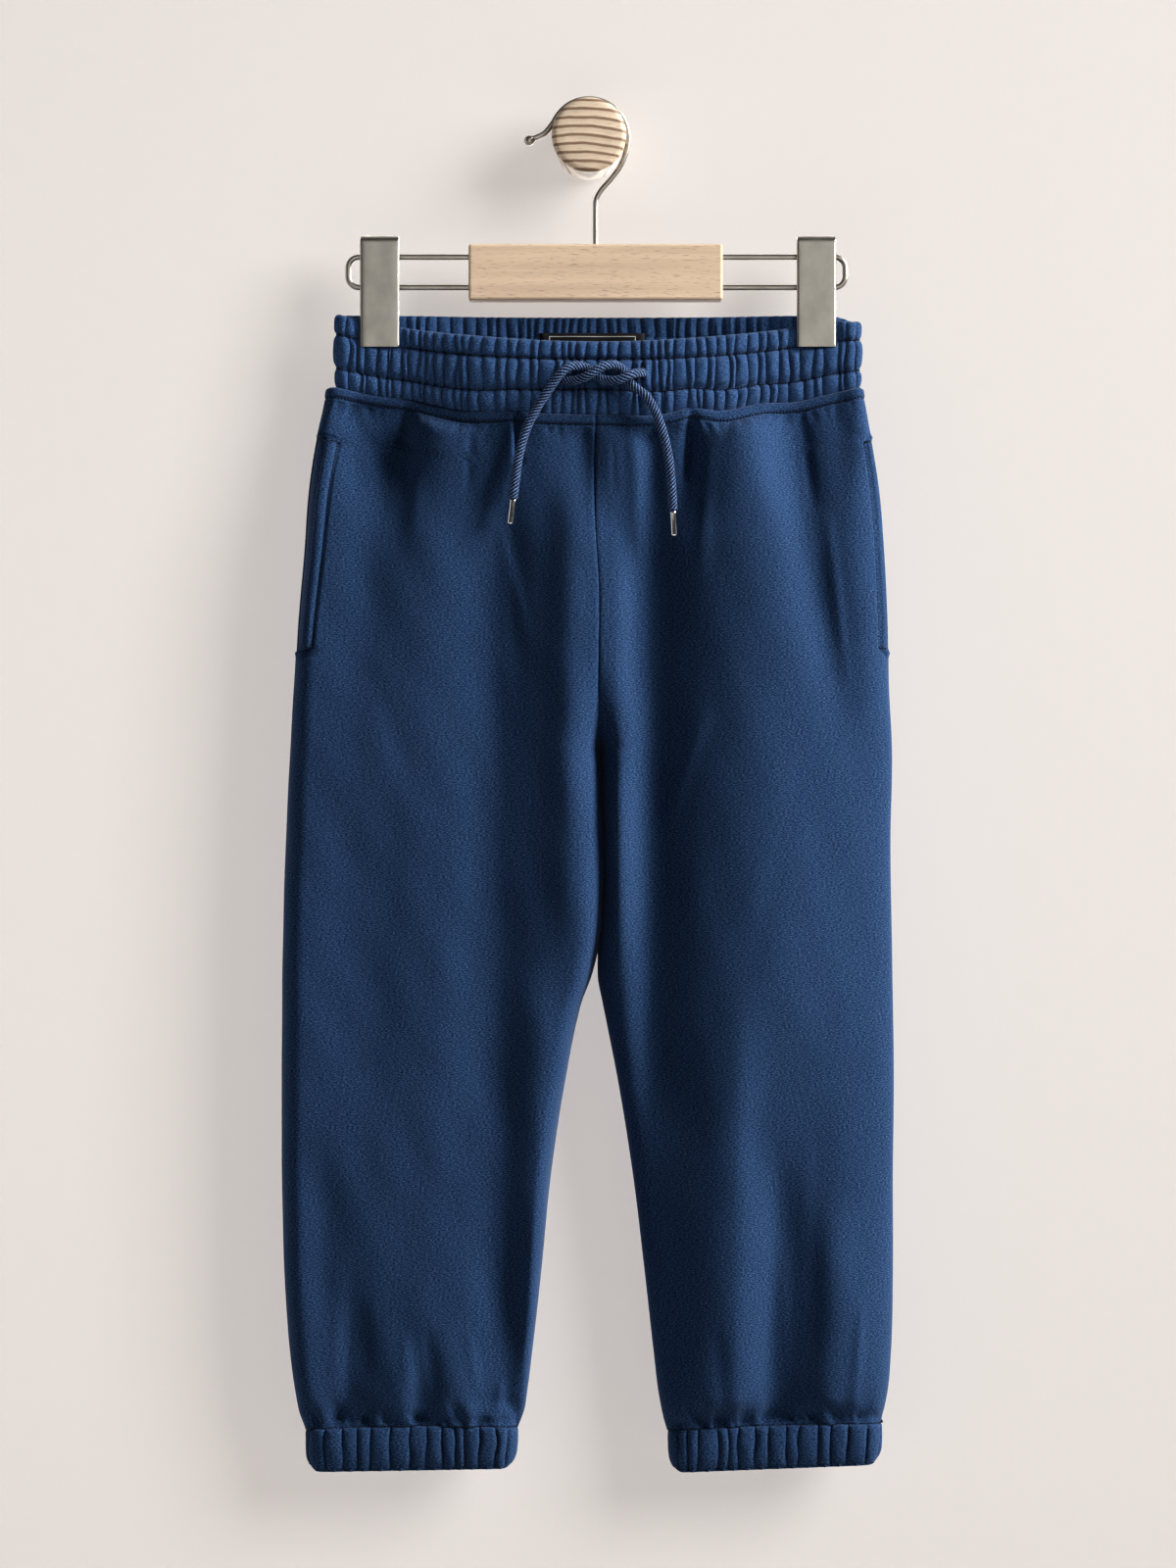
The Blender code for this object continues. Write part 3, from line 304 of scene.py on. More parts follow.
# Short gathers that start from a seam of a panel.
Short = namedtuple("Short", "count shortest longest deepest narrow")
HEM_EASE = Short(24, 7.0, 17.0, 1.0, 1.0)
CUFF_PLEATS = Short(13, 8.0, 19.0, 3.4, 1.5)
CUFF_PUCKERS = Short(24, 4.0, 9.0, 2.0, 0.9)

Cuff = namedtuple("Cuff", "side left right z_left z_right arch")
CUFFS = (
    Cuff("left", -143.4, -37.4, -658.6, -657.6, 1.8),
    Cuff("right", 41.2, 148.4, -659.0, -655.6, 1.2),
)
CUFF_DEPTH = 10.6
CUFF_ROUND = 13.0
CUFF_GAP = -0.4
CUFF_TILT = 0.8
CUFF_FADE = 40.0
LEG_INSIDE = 0.9           # a leg's lower edge lies at most this deep inside its cuff's face
SEAM_EASE = 5.0            # over this height the leg's pleats rise to the cuff seam
CUFF_CORNER = 3.2          # rounding of a cuff's lower corners

# Cross-section of a gathered band, from its top edge down: drop, swell of the outer face,
# and how much of the gathers shows there.
Swell = namedtuple("Swell", "drop out gather")
BAND_ROWS = (
    Swell(0.0, -0.4, 0.6), Swell(1.4, 0.7, 0.9), Swell(4.8, 1.4, 1.0), Swell(8.6, 1.0, 0.9),
    Swell(10.2, -0.4, 0.8), Swell(11.8, 1.1, 0.9), Swell(15.0, 2.0, 1.0),
    Swell(19.0, 2.2, 1.0), Swell(24.4, 1.4, 0.95), Swell(27.2, -0.4, 0.8),
    Swell(28.8, 0.9, 0.9), Swell(32.0, 1.4, 1.0), Swell(34.6, 0.9, 0.9),
    Swell(36.4, 0.0, 0.7), Swell(37.6, -0.8, 0.5),
)
CUFF_ROWS = (
    Swell(0.0, 0.2, 0.5), Swell(1.0, 0.9, 0.8), Swell(5.0, 1.5, 1.0), Swell(12.0, 1.1, 1.0),
    Swell(17.5, -0.3, 1.0), Swell(19.6, -1.4, 0.8), Swell(20.6, -2.6, 0.5),
)
Gather = namedtuple("Gather", "pleats wall bulge cut cut_width drift rows inner_rows seams")
BAND_GATHER = Gather(104, 2.6, 0.9, 1.6, 0.5, 0.7, 40, 18, (10.2, 27.2))
CUFF_GATHER = Gather(30, 2.6, 0.6, 1.6, 0.5, 0.7, 36, 14, ())
STEPS_IN_PLEAT = (0.0, 0.05, 0.12, 0.22, 0.34, 0.44, 0.5, 0.56, 0.66, 0.78, 0.88, 0.95)
SEAM_ROWS = (-1.2, -0.7, -0.3, 0.0, 0.3, 0.7, 1.2)   # extra rows around a seam
WANDER_PITCH = 12.0        # gathers change their course about this often
LEVEL = 0.5                # step between the drops at which their course is kept
GRIP_END = 11.0            # the clips flatten the gathers down to here
Buttonhole = namedtuple("Buttonhole", "x top bottom")
BUTTONHOLES = (Buttonhole(27.0, 12.0, 23.0), Buttonhole(-13.0, 13.0, 24.0))

# How far inside the outline a pocket's edge lies, at its top and its end.
Mouth = namedtuple("Mouth", "top end")
MOUTHS = {"left": Mouth(5.8, 3.4), "right": Mouth(1.0, 1.0)}
MOUTH_EASE = 0.045
FACING_SEAM = 0.9          # the facing lies this deep at the side seam
FACING = 1.2
FACING_GAP = 0.5
FACING_UNDER = 14.0        # the facing runs on this far under the front
WELT = 6.4                 # width of the stitched pocket edge
HEM_STRIP = 5.2            # from the hem's edge to its stitch row
HEM_CORNER = 2.4           # the hem drops this much where it meets the side seam

# ---- sewing ----
STITCH_PITCH = 1.7
STITCH = 1.15
THREAD = 0.48
STITCH_LIFT = 0.25         # a stitch row stands this far off its cloth
SEAM_DIP = 0.5             # a panel's edge turns in this deep at a seam
SEAM_WIDTH = 0.8
SEAM_FADE = 9.0            # creases die out over this width beside a seam
HEM_PROUD = 0.5            # the doubled strip of the hem
HEM_EDGE = 0.7             # roundness of the hem's top edge
HEM_GROOVE = 0.6           # the hem's stitch row lies this deep
GROOVE_WIDTH = 0.7
HEM_TUCK = 0.9             # the cloth falls in below each low dip of the hem
TUCK_REACH = 14.0
WELT_PROUD = 1.0
WELT_GROOVE = 1.4
BARTACK = 5.0              # the rows of stitches at both ends of a pocket edge
EDGE_STITCHES = 2          # stitch rows leave out this many points at a panel's edges

# Drawcord routes x, y, z from the eyelet to the tip, and the hook's route x, z.
LEFT_STRAND = (
    (0.0275, -0.0595, -0.1224), (0.0244, -0.0627, -0.1226), (0.0205, -0.0658, -0.1240),
    (0.0145, -0.0652, -0.1264), (0.0070, -0.0615, -0.1258), (0.0030, -0.0601, -0.1228),
    (-0.0005, -0.0603, -0.1202), (-0.0045, -0.0620, -0.1190), (-0.0105, -0.0650, -0.1200),
    (-0.0145, -0.0652, -0.1232), (-0.0190, -0.0634, -0.1292), (-0.0260, -0.0612, -0.1398),
    (-0.0310, -0.0602, -0.1492), (-0.0350, -0.0594, -0.1622), (-0.0370, -0.0590, -0.1748),
    (-0.0383, -0.0588, -0.1856),
)
RIGHT_STRAND = (
    (-0.0130, -0.0596, -0.1258), (-0.0085, -0.0612, -0.1264), (-0.0040, -0.0638, -0.1256),
    (0.0005, -0.0656, -0.1234), (0.0055, -0.0656, -0.1202), (0.0105, -0.0636, -0.1185),
    (0.0142, -0.0616, -0.1189), (0.0176, -0.0602, -0.1214), (0.0196, -0.0600, -0.1258),
    (0.0234, -0.0606, -0.1298), (0.0286, -0.0614, -0.1340), (0.0335, -0.0614, -0.1418),
    (0.0373, -0.0616, -0.1524), (0.0400, -0.0618, -0.1644), (0.0416, -0.0614, -0.1782),
    (0.0424, -0.0606, -0.1916),
)
HOOK_ROUTE = (
    (3.4, -64.0), (3.4, -50.0), (3.4, -38.0), (3.7, -31.5), (6.2, -26.8), (10.8, -21.6),
    (15.7, -15.0), (18.6, -8.4), (20.1, 0.0), (18.9, 6.9), (15.4, 12.9), (10.1, 17.4),
    (3.5, 19.8), (-3.5, 19.8), (-10.1, 17.4), (-15.2, 12.8), (-19.0, 7.0), (-23.0, 2.4),
    (-28.0, 0.0),
)
BALL_STEPS = (-0.75, -0.5, -0.25, 0.0, 0.25, 0.5, 0.7, 0.85, 0.95, 0.99)

# Turned profile of the knob, from the middle of its face to the wall.
Turning = namedtuple("Turning", "radius out")
KNOB_PROFILE = (
    Turning(0.0, KNOB_LENGTH), Turning(10.0, KNOB_LENGTH), Turning(16.2, KNOB_LENGTH),
    Turning(17.4, 49.7), Turning(18.3, 48.9), Turning(18.9, 47.6), Turning(19.0, 46.0),
    Turning(18.9, 44.0), Turning(18.6, 40.0), Turning(KNOB_SEAT, 36.5),
    Turning(KNOB_SEAT, 32.5), Turning(17.6, 22.0), Turning(16.9, 8.0), Turning(16.5, 0.0),
)

# ---- stage ----
EYE = 2200.0               # from the hanging plane to the camera
AIM = (-0.5, -330.0)       # middle of the view, x and z
LENS = 99.0
# Powers of the lesser lights, as shares of the window's and of the wall's light.
LEFT_BOUNCE = 0.03
FRONT_CARD = 0.13
HIGH_CARD = 0.09
BACK_FILL = 0.16
WALL_SIDE = 0.48
WARM_WHITE = (1.0, 0.985, 0.97)


# ---------------------------------------------------------------- settings

def tone(name, description, default):
    return FloatVectorProperty(name=name, description=description, default=default,
                               subtype="COLOR", size=3, min=0.0, max=1.0)


def length(name, description, default):
    return FloatProperty(name=name, description=description, default=default,
                         unit="LENGTH", min=0.0)


def amount(name, description, default, high=1.0):
    return FloatProperty(name=name, description=description, default=default,
                         subtype="FACTOR", min=0.0, max=high)


class FleeceSettings(bpy.types.PropertyGroup):
    wall: length("Wall", "Thickness of the brushed fleece", FLEECE * MM)
    colour: tone("Colour", "Main shade of the fleece", (0.0325, 0.074, 0.161))
    fleck: tone("Fleck", "Lighter fibres in the fleece", (0.098, 0.164, 0.287))
    shade: tone("Shade", "Darker fibres in the fleece", (0.0134, 0.032, 0.078))
    # Near black: the thread's navy is darkened into painted shade of the stitch holes it sinks
    # into.
    thread: tone("Thread", "Sewing thread", (0.004, 0.008, 0.022))
    nap: length("Nap", "Height of the brushed surface", 0.00025)
    sheen: amount("Sheen", "Soft light on the nap", 0.20)


class CordSettings(bpy.types.PropertyGroup):
    diameter: length("Diameter", "Thickness of the drawcord", CORD * MM)
    colour: tone("Colour", "Main shade of the cord", (0.014, 0.034, 0.098))
    # The cord's fleck colour is a painted highlight, laid only on the braid's crowns.
    fleck: tone("Fleck", "Lighter yarns of the braid", (0.21, 0.34, 0.60))


class HangerSettings(bpy.types.PropertyGroup):
    nickel: tone("Nickel", "Satin nickel of clips, rails and hook", (0.42, 0.40, 0.36))
    beech: tone("Beech", "Wood of the hanger's block", (0.57, 0.45, 0.343))
    ash: tone("Ash", "Wood of the wall knob", (0.62, 0.515, 0.40))
    grain: tone("Grain", "Growth lines of the knob", (0.25, 0.17, 0.115))


class StageSettings(bpy.types.PropertyGroup):
    wall: tone("Wall", "Paint of the wall", (0.31, 0.302, 0.298))
    floor: tone("Floor", "Paint of the floor", (0.35, 0.34, 0.33))
    key: FloatProperty(name="Key", description="Power of the side window",
                       default=114.0, unit="POWER", min=0.0)
    wash: FloatProperty(name="Wash", description="Power of the wall's own light",
                        default=116.0, unit="POWER", min=0.0)
    fill: FloatProperty(name="Fill", description="Strength of the room's own light",
                        default=0.06, min=0.0)


# ---------------------------------------------------------------- small tools

def smooth(t):
    """Ease from 0 to 1."""
    t = np.clip(t, 0.0, 1.0)
    return t * t * (3.0 - 2.0 * t)


def bell(distance, width):
    """1 at no distance, eased to 0 at about two widths."""
    return np.exp(-(distance / width) ** 2)


def along(rows, column, z):
    """Value of a table's column at height z, on a smooth curve through its rows."""
    down = np.array([-row.z for row in rows], dtype=float)
    value = np.array([getattr(row, column) for row in rows], dtype=float)
    return smooth_curve(down, value, -np.asarray(z, dtype=float))


def smooth_curve(places, value, at):
    """Value at each place of a smooth curve through the given ones."""
    slope = np.gradient(value, places, axis=0)
    at = np.clip(at, places[0], places[-1])
    k = np.clip(np.searchsorted(places, at) - 1, 0, len(places) - 2)
    span = places[k + 1] - places[k]
    t = (at - places[k]) / span
    if value.ndim > 1:
        span = span[:, None]
        t = t[:, None]
    rest = 1.0 - t
    return (value[k] * (1 + 2 * t) * rest ** 2 + value[k + 1] * t ** 2 * (3 - 2 * t)
            + slope[k] * span * t * rest ** 2 - slope[k + 1] * span * t ** 2 * rest)


def curve_through(points, spacing):
    """Points at an even spacing on a smooth curve through the given ones."""
    points = np.asarray(points, dtype=float)
    chord = np.sqrt(np.linalg.norm(np.diff(points, axis=0), axis=1))
    knots = np.concatenate(([0.0], np.cumsum(chord)))
    dense = smooth_curve(knots, points, np.linspace(0.0, knots[-1], 40 * len(points)))
    return resample(dense, spacing)


def run_of(points):
    """Length along a line of points, from its first one."""
    steps = np.linalg.norm(np.diff(points, axis=0), axis=1)
    return np.concatenate(([0.0], np.cumsum(steps)))


def resample(points, spacing):
    """Points at an even spacing along a line of points."""
    run = run_of(points)
    count = max(2, round(run[-1] / spacing) + 1)
    at = np.linspace(0.0, run[-1], count)
    return np.column_stack([np.interp(at, run, points[:, c]) for c in range(points.shape[1])])


def settings():
    return bpy.context.scene.joggers


def add_piece(name, data, material):
    """Put a mesh or curve in the scene, riding on the body, in one material slot."""
    obj = bpy.data.objects.new(name, data)
    bpy.context.scene.collection.objects.link(obj)
    data.materials.append(material)
    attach(obj, "root")
    return obj


def grid_mesh(name, points, uv, merge, flip):
    """Mesh of a grid of points in millimetres, rows by columns, with its own UV map in
    metres. Where merge is set, rows or columns that meet are joined."""
    rows, columns = points.shape[:2]
    bm = bmesh.new()
    bmesh.ops.create_grid(bm, x_segments=columns - 1, y_segments=rows - 1, size=0.5)
    mesh = bpy.data.meshes.new(name)
    bm.to_mesh(mesh)
    mesh.vertices.foreach_set("co", (points.reshape(-1, 3) * MM).ravel())
    corner = np.empty(len(mesh.loops), dtype=np.int32)
    mesh.loops.foreach_get("vertex_index", corner)
    mesh.uv_layers.new(name="cloth")
    mesh.uv_layers["cloth"].data.foreach_set("uv", (uv.reshape(-1, 2)[corner] * MM).ravel())
    bm.clear()
    bm.from_mesh(mesh)
    if merge:
        bmesh.ops.remove_doubles(bm, verts=bm.verts, dist=1e-7)
    if flip:
        bmesh.ops.reverse_faces(bm, faces=bm.faces)
    bm.to_mesh(mesh)
    bm.free()
    mesh.shade_smooth()
    return mesh


def grid_normals(points, sign):
    """Outward directions of a grid of points; sign turns them all."""
    across = np.gradient(points, axis=1)
    down = np.gradient(points, axis=0)
    out = np.cross(across, down) * sign
    return out / np.maximum(np.linalg.norm(out, axis=-1, keepdims=True), 1e-9)


def grid_uv(points, rows_run):
    """UV map in millimetres: run along each row by its real length, and down the cloth."""
    step = np.linalg.norm(np.diff(points, axis=1), axis=-1)
    across = np.concatenate((np.zeros((len(points), 1)), np.cumsum(step, axis=1)), axis=1)
    return np.stack((across, np.broadcast_to(rows_run[:, None], across.shape)), axis=-1)


def add_cloth(name, node, mesh, material, wall):
    """Hung cloth in place of a node: a mesh with a thickness inwards from its outer face.
    wall is its thickness in metres."""
    piece = add_piece(name, mesh, material)
    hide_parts(node)
    thick = piece.modifiers.new("wall", "SOLIDIFY")
    thick.thickness = wall
    thick.offset = -1.0
    return piece


# ---------------------------------------------------------------- materials

class Paint:
    """A material and short ways to add and link its nodes."""

    def __init__(self, name, roughness=0.5, metallic=0.0, **constants):
        self.material = bpy.data.materials.new(name)
        self.material.use_nodes = True
        self.tree = self.material.node_tree
        self.shader = self.tree.nodes["Principled BSDF"]
        self.shader.inputs["Roughness"].default_value = roughness
        self.shader.inputs["Metallic"].default_value = metallic
        for socket, value in constants.items():
            self.shader.inputs[socket.replace("_", " ")].default_value = value

    def add(self, kind, **values):
        node = self.tree.nodes.new(kind)
        for key, value in values.items():
            setattr(node, key, value)
        return node

    def link(self, a, b):
        self.tree.links.new(a, b)

    def place(self, scale, output="Object", turn=(0.0, 0.0, 0.0), shift=(0.0, 0.0, 0.0)):
        """Coordinates stretched by scale, in cells to the metre."""
        source = self.add("ShaderNodeTexCoord")
        mapping = self.add("ShaderNodeMapping")
        mapping.inputs["Scale"].default_value = scale
        mapping.inputs["Rotation"].default_value = turn
        mapping.inputs["Location"].default_value = shift
        self.link(source.outputs[output], mapping.inputs["Vector"])
        return mapping.outputs["Vector"]

    def noise(self, place, detail=2.0, roughness=0.5):
        node = self.add("ShaderNodeTexNoise")
        node.inputs["Scale"].default_value = 1.0
        node.inputs["Detail"].default_value = detail
        node.inputs["Roughness"].default_value = roughness
        self.link(place, node.inputs["Vector"])
        return node.outputs["Fac"]

    def ramp(self, fac, *stops):
        """Colours or greys at places from 0 to 1."""
        node = self.add("ShaderNodeValToRGB")
        while len(node.color_ramp.elements) < len(stops):
            node.color_ramp.elements.new(0.5)
        for element, (position, colour) in zip(node.color_ramp.elements, stops):
            element.position = position
            value = colour if hasattr(colour, "__len__") else (colour,) * 3
            element.color = (*value, 1.0)
        self.link(fac, node.inputs["Fac"])
        return node.outputs["Color"]

    def mix(self, fac, a, b, blend="MIX"):
        node = self.add("ShaderNodeMix", data_type="RGBA", blend_type=blend)
        for socket, value in ((0, fac), (6, a), (7, b)):
            if isinstance(value, bpy.types.NodeSocket):
                self.link(value, node.inputs[socket])
            elif hasattr(value, "__len__"):
                node.inputs[socket].default_value = (*value, 1.0)
            else:
                node.inputs[socket].default_value = value
        return node.outputs[2]

    def calc(self, operation, *values):
        """A Math node. Each value is another node's output or a constant."""
        node = self.add("ShaderNodeMath", operation=operation)
        for socket, value in zip(node.inputs, values):
            if isinstance(value, bpy.types.NodeSocket):
                self.link(value, socket)
            else:
                socket.default_value = value
        return node.outputs[0]

    def colour(self, output):
        self.link(output, self.shader.inputs["Base Color"])

    def roughness(self, output):
        self.link(output, self.shader.inputs["Roughness"])

    def bump(self, *layers):
        """Heights, each with its distance in metres, laid over each other."""
        normal = None
        for height, distance in layers:
            node = self.add("ShaderNodeBump")
            node.inputs["Distance"].default_value = distance
            self.link(height, node.inputs["Height"])
            if normal:
                self.link(normal, node.inputs["Normal"])
            normal = node.outputs["Normal"]
        self.link(normal, self.shader.inputs["Normal"])


def once(name):
    """An already made material of this name, or None."""
    return bpy.data.materials.get(name)


def fleece_material():
    """Brushed melange fleece: short fibres lying across, soft pile, and a worn bloom."""
    if once("brushed_fleece"):
        return once("brushed_fleece")
    wear = settings().fleece
    paint = Paint("brushed_fleece", roughness=0.95, Sheen_Weight=wear.sheen,
                  Sheen_Roughness=0.45, Sheen_Tint=(0.64, 0.72, 0.95, 1.0))
    paint.shader.inputs["Specular IOR Level"].default_value = 0.12
    fibres = paint.noise(paint.place((800.0, 2400.0, 1.0), "UV"), 2.0, 0.6)
    pile = paint.noise(paint.place((620.0, 1100.0, 1.0), "UV", shift=(3.0, 7.0, 0.0)), 3.0, 0.65)
    bloom = paint.noise(paint.place((60.0, 40.0, 1.0), "UV", shift=(9.0, 1.0, 0.0)), 3.0, 0.6)
    ground = paint.ramp(fibres, (0.34, tuple(wear.shade)), (0.5, tuple(wear.colour)),
                        (0.66, tuple(wear.fleck)))
    soft = paint.ramp(pile, (0.32, 0.8), (0.68, 0.96))
    worn = paint.ramp(bloom, (0.3, 0.93), (0.7, 1.0))
    colour = paint.mix(1.0, ground, soft, "MULTIPLY")
    paint.colour(paint.mix(1.0, colour, worn, "MULTIPLY"))
    paint.bump((pile, wear.nap * 0.5), (fibres, wear.nap * 0.4))
    return paint.material


def thread_and_hole_shade_material():
    # Real stitches, coloured near black as painted shade of the stitch holes.
    if once("thread_darkened_as_hole_shade"):
        return once("thread_darkened_as_hole_shade")
    paint = Paint("thread_darkened_as_hole_shade", roughness=0.7)
    ply = paint.noise(paint.place((3000.0, 3000.0, 3000.0)), 1.0)
    shade = tuple(settings().fleece.thread)
    paint.colour(paint.ramp(ply, (0.35, tuple(c * 0.6 for c in shade)),
                            (0.65, tuple(c * 1.8 for c in shade))))
    paint.bump((ply, 0.0001))
    return paint.material


def cord_material():
    """Round braid on the cord's own map: painted highlight as pale dashes where its yarns come to
    the top, and painted shade where both yarns lie low.
    """
    if once("braided_cord"):
        return once("braided_cord")
    yarn = settings().cord
    paint = Paint("braided_cord", roughness=0.9, Sheen_Weight=0.04)
    map_place = paint.add("ShaderNodeTexCoord").outputs["UV"]
    round_it = BRAID_YARNS / (yarn.diameter / 2)
    along_it = 2 * math.pi / (BRAID_PITCH * MM)
    waves = []
    for way in (1, -1):
        phase = paint.add("ShaderNodeVectorMath", operation="DOT_PRODUCT")
        phase.inputs[1].default_value = (round_it, way * along_it, 0.0)
        paint.link(map_place, phase.inputs[0])
        waves.append(paint.calc("SINE", phase.outputs["Value"]))
    one, other = waves
    top = paint.calc("MAXIMUM",
                     paint.calc("MULTIPLY", one, paint.calc("GREATER_THAN", other, 0.0)),
                     paint.calc("MULTIPLY", other, paint.calc("LESS_THAN", one, 0.0)))
    base = tuple(yarn.colour)
    # Painted shade: the braid darkens to 0.4 of its colour where both yarns lie low. Painted
    # highlight: the pale fleck colour sits on the crowns.
    braid_shade_and_highlight = paint.ramp(top, (0.1, tuple(c * 0.4 for c in base)), (0.62, base),
                         (0.9, tuple(yarn.fleck)))
    uneven = paint.noise(paint.place((500.0, 320.0, 1.0), "UV"), 2.0, 0.6)
    worn = paint.ramp(uneven, (0.35, 0.55), (0.6, 1.0))
    fuzz = paint.noise(paint.place((2400.0, 2400.0, 2400.0)), 2.0)
    paint.colour(paint.mix(1.0, braid_shade_and_highlight, worn, "MULTIPLY"))
    paint.bump((fuzz, 0.0002), (top, 0.0002))
    return paint.material


def metal_material(name, colour, roughness):
    """Metal with fine scratches along the wire and cloudy handling marks."""
    if once(name):
        return once(name)
    paint = Paint(name, roughness=roughness, metallic=1.0)
    marks = paint.noise(paint.place((90.0, 90.0, 60.0)), 4.0, 0.6)
    scratches = paint.noise(paint.place((2600.0, 2600.0, 260.0)), 2.0, 0.7)
    dull = tuple(c * 0.86 for c in colour)
    paint.colour(paint.ramp(marks, (0.3, dull), (0.65, tuple(colour))))
    paint.roughness(paint.ramp(marks, (0.3, roughness * 1.25), (0.7, roughness * 0.8)))
    paint.bump((scratches, 0.00002))
    return paint.material


def nickel_material():
    return metal_material("satin_nickel", tuple(settings().hanger.nickel), 0.33)


def beech_material():
    """Pale beech: long soft grain and short darker flecks along the block."""
    if once("pale_beech"):
        return once("pale_beech")
    base = tuple(settings().hanger.beech)
    paint = Paint("pale_beech", roughness=0.62)
    paint.shader.inputs["Specular IOR Level"].default_value = 0.3
    grain = paint.noise(paint.place((7.0, 160.0, 170.0)), 4.0, 0.6)
    flecks = paint.noise(paint.place((190.0, 1500.0, 1700.0)), 2.0, 0.5)
    tone_map = paint.ramp(grain, (0.3, tuple(c * 0.86 for c in base)), (0.52, base),
                          (0.7, tuple(min(1.0, c * 1.08) for c in base)))
    dots = paint.ramp(flecks, (0.3, 0.72), (0.42, 1.0))
    paint.colour(paint.mix(1.0, tone_map, dots, "MULTIPLY"))
    paint.bump((grain, 0.00012), (flecks, 0.00005))
    return paint.material


def knob_material():
    """Open-grained wood with arched growth lines across its face."""
    if once("turned_oak"):
        return once("turned_oak")
    hanger = settings().hanger
    base = tuple(hanger.ash)
    paint = Paint("turned_oak", roughness=0.5)
    waves = paint.add("ShaderNodeTexWave", wave_type="RINGS", rings_direction="Y")
    waves.inputs["Scale"].default_value = 1.0
    waves.inputs["Distortion"].default_value = 1.6
    waves.inputs["Detail"].default_value = 3.0
    waves.inputs["Detail Scale"].default_value = 0.8
    paint.link(paint.place((72.0, 14.0, 72.0), shift=(0.4, 0.0, 7.4)), waves.inputs["Vector"])
    pores = paint.noise(paint.place((160.0, 420.0, 1500.0)), 3.0, 0.6)
    cloud = paint.noise(paint.place((50.0, 20.0, 90.0)), 2.0)
    lines = paint.ramp(waves.outputs["Fac"], (0.0, base), (0.62, base), (0.9, tuple(hanger.grain)))
    soft = paint.ramp(cloud, (0.3, 0.86), (0.7, 1.0))
    dots = paint.ramp(pores, (0.32, 0.7), (0.45, 1.0))
    colour = paint.mix(1.0, paint.mix(1.0, lines, soft, "MULTIPLY"), dots, "MULTIPLY")
    paint.colour(colour)
    paint.bump((waves.outputs["Fac"], 0.00015), (pores, 0.0001))
    return paint.material


def label_material():
    """Bare black tape with a thin pale line woven round its edge."""
    paint = Paint("woven_tape", roughness=0.8)
    source = paint.add("ShaderNodeTexCoord")
    parts = paint.add("ShaderNodeSeparateXYZ")
    paint.link(source.outputs["UV"], parts.inputs["Vector"])
    wide = (LABEL_RIGHT - LABEL_LEFT) * MM / 2
    tall = (LABEL_EDGES[0] - LABEL_EDGES[1]) * MM / 2
    half_line = 0.0002
    inset_x = 0.0048
    inset_y = 0.0018

    def from_edge(coordinate, half, inset):
        """Distance from a border at the same inset on both sides."""
        centred = paint.calc("SUBTRACT", coordinate, half)
        return paint.calc("SUBTRACT", paint.calc("ABSOLUTE", centred), half - inset)

    nearer = paint.calc("MAXIMUM", from_edge(parts.outputs["X"], wide, inset_x),
                        from_edge(parts.outputs["Y"], tall, inset_y))
    on_line = paint.calc("LESS_THAN", paint.calc("ABSOLUTE", nearer), half_line)
    weave = paint.noise(paint.place((3000.0, 1600.0, 1.0), "UV"), 1.0)
    ground = paint.ramp(weave, (0.3, (0.006, 0.006, 0.008)), (0.7, (0.02, 0.02, 0.024)))
    paint.colour(paint.mix(on_line, ground, (0.62, 0.62, 0.6)))
    paint.bump((weave, 0.0001))
    return paint.material


# ---------------------------------------------------------------- form of the trousers

def half_depth_at_band(x, face):
    """Half depth of the waistband: pinched in the clips, open between and beyond them."""
    gap_left = np.abs(x - CLIP_LEFT_X) - CLIP_WIDTH / 2
    gap_right = np.abs(x - CLIP_RIGHT_X) - CLIP_WIDTH / 2
    away = np.maximum(np.minimum(gap_left, gap_right), 0.0)
    between = (x > CLIP_LEFT_X) & (x < CLIP_RIGHT_X)
    spread = np.where(between, OPEN_SPREAD, END_SPREAD)
    opened = np.where(between, np.where(face < 0, FRONT_OPEN, BACK_OPEN), SIDE_OPEN)
    pinch = bell(away, spread)
    return pinch * HELD + (1 - pinch) * opened


def clip_grip(x):
    """1 where a clip flattens the gathers, 0 well away from both."""
    left = np.abs(x - CLIP_LEFT_X) - CLIP_WIDTH / 2
    right = np.abs(x - CLIP_RIGHT_X) - CLIP_WIDTH / 2
    return 1.0 - smooth((np.minimum(left, right) - 1.0) / GRIP_FADE)


def droop(x, face, low):
    """How far the band sags between the sides, at its top edge (low 0) or bottom (low 1)."""
    middle = (BAND_LEFT + BAND_RIGHT) / 2
    across = np.clip(np.abs(x - middle) * 2 / (BAND_RIGHT - BAND_LEFT), 0.0, 1.0)
    sag = np.where(face < 0, DROOP_FRONT, DROOP_BACK) * (1.0 - across ** 2)
    loose = smooth((x - CLIP_RIGHT_X - SAG_START) / SAG_SPREAD) * RIGHT_SAG * (1 - low)
    dips = sum(dip.drop * bell(x - dip.x, dip.width) for dip in HEM_DIPS)
    return sag + loose + np.where(face < 0, dips * low ** 2, 0.0)


def crotch_gap(z):
    """Half gap at the inner edge: it follows the crotch seam, then the space between legs."""
    if z >= CROTCH_Z:
        turn = min(1.0, (z - CROTCH_Z) / (CROTCH_OPEN - CROTCH_Z))
        return -float(along(DEPTH, "inner_right", z)) * turn ** (BLUNT / 2)
    return float(along(MIDDLE, "gap", z))


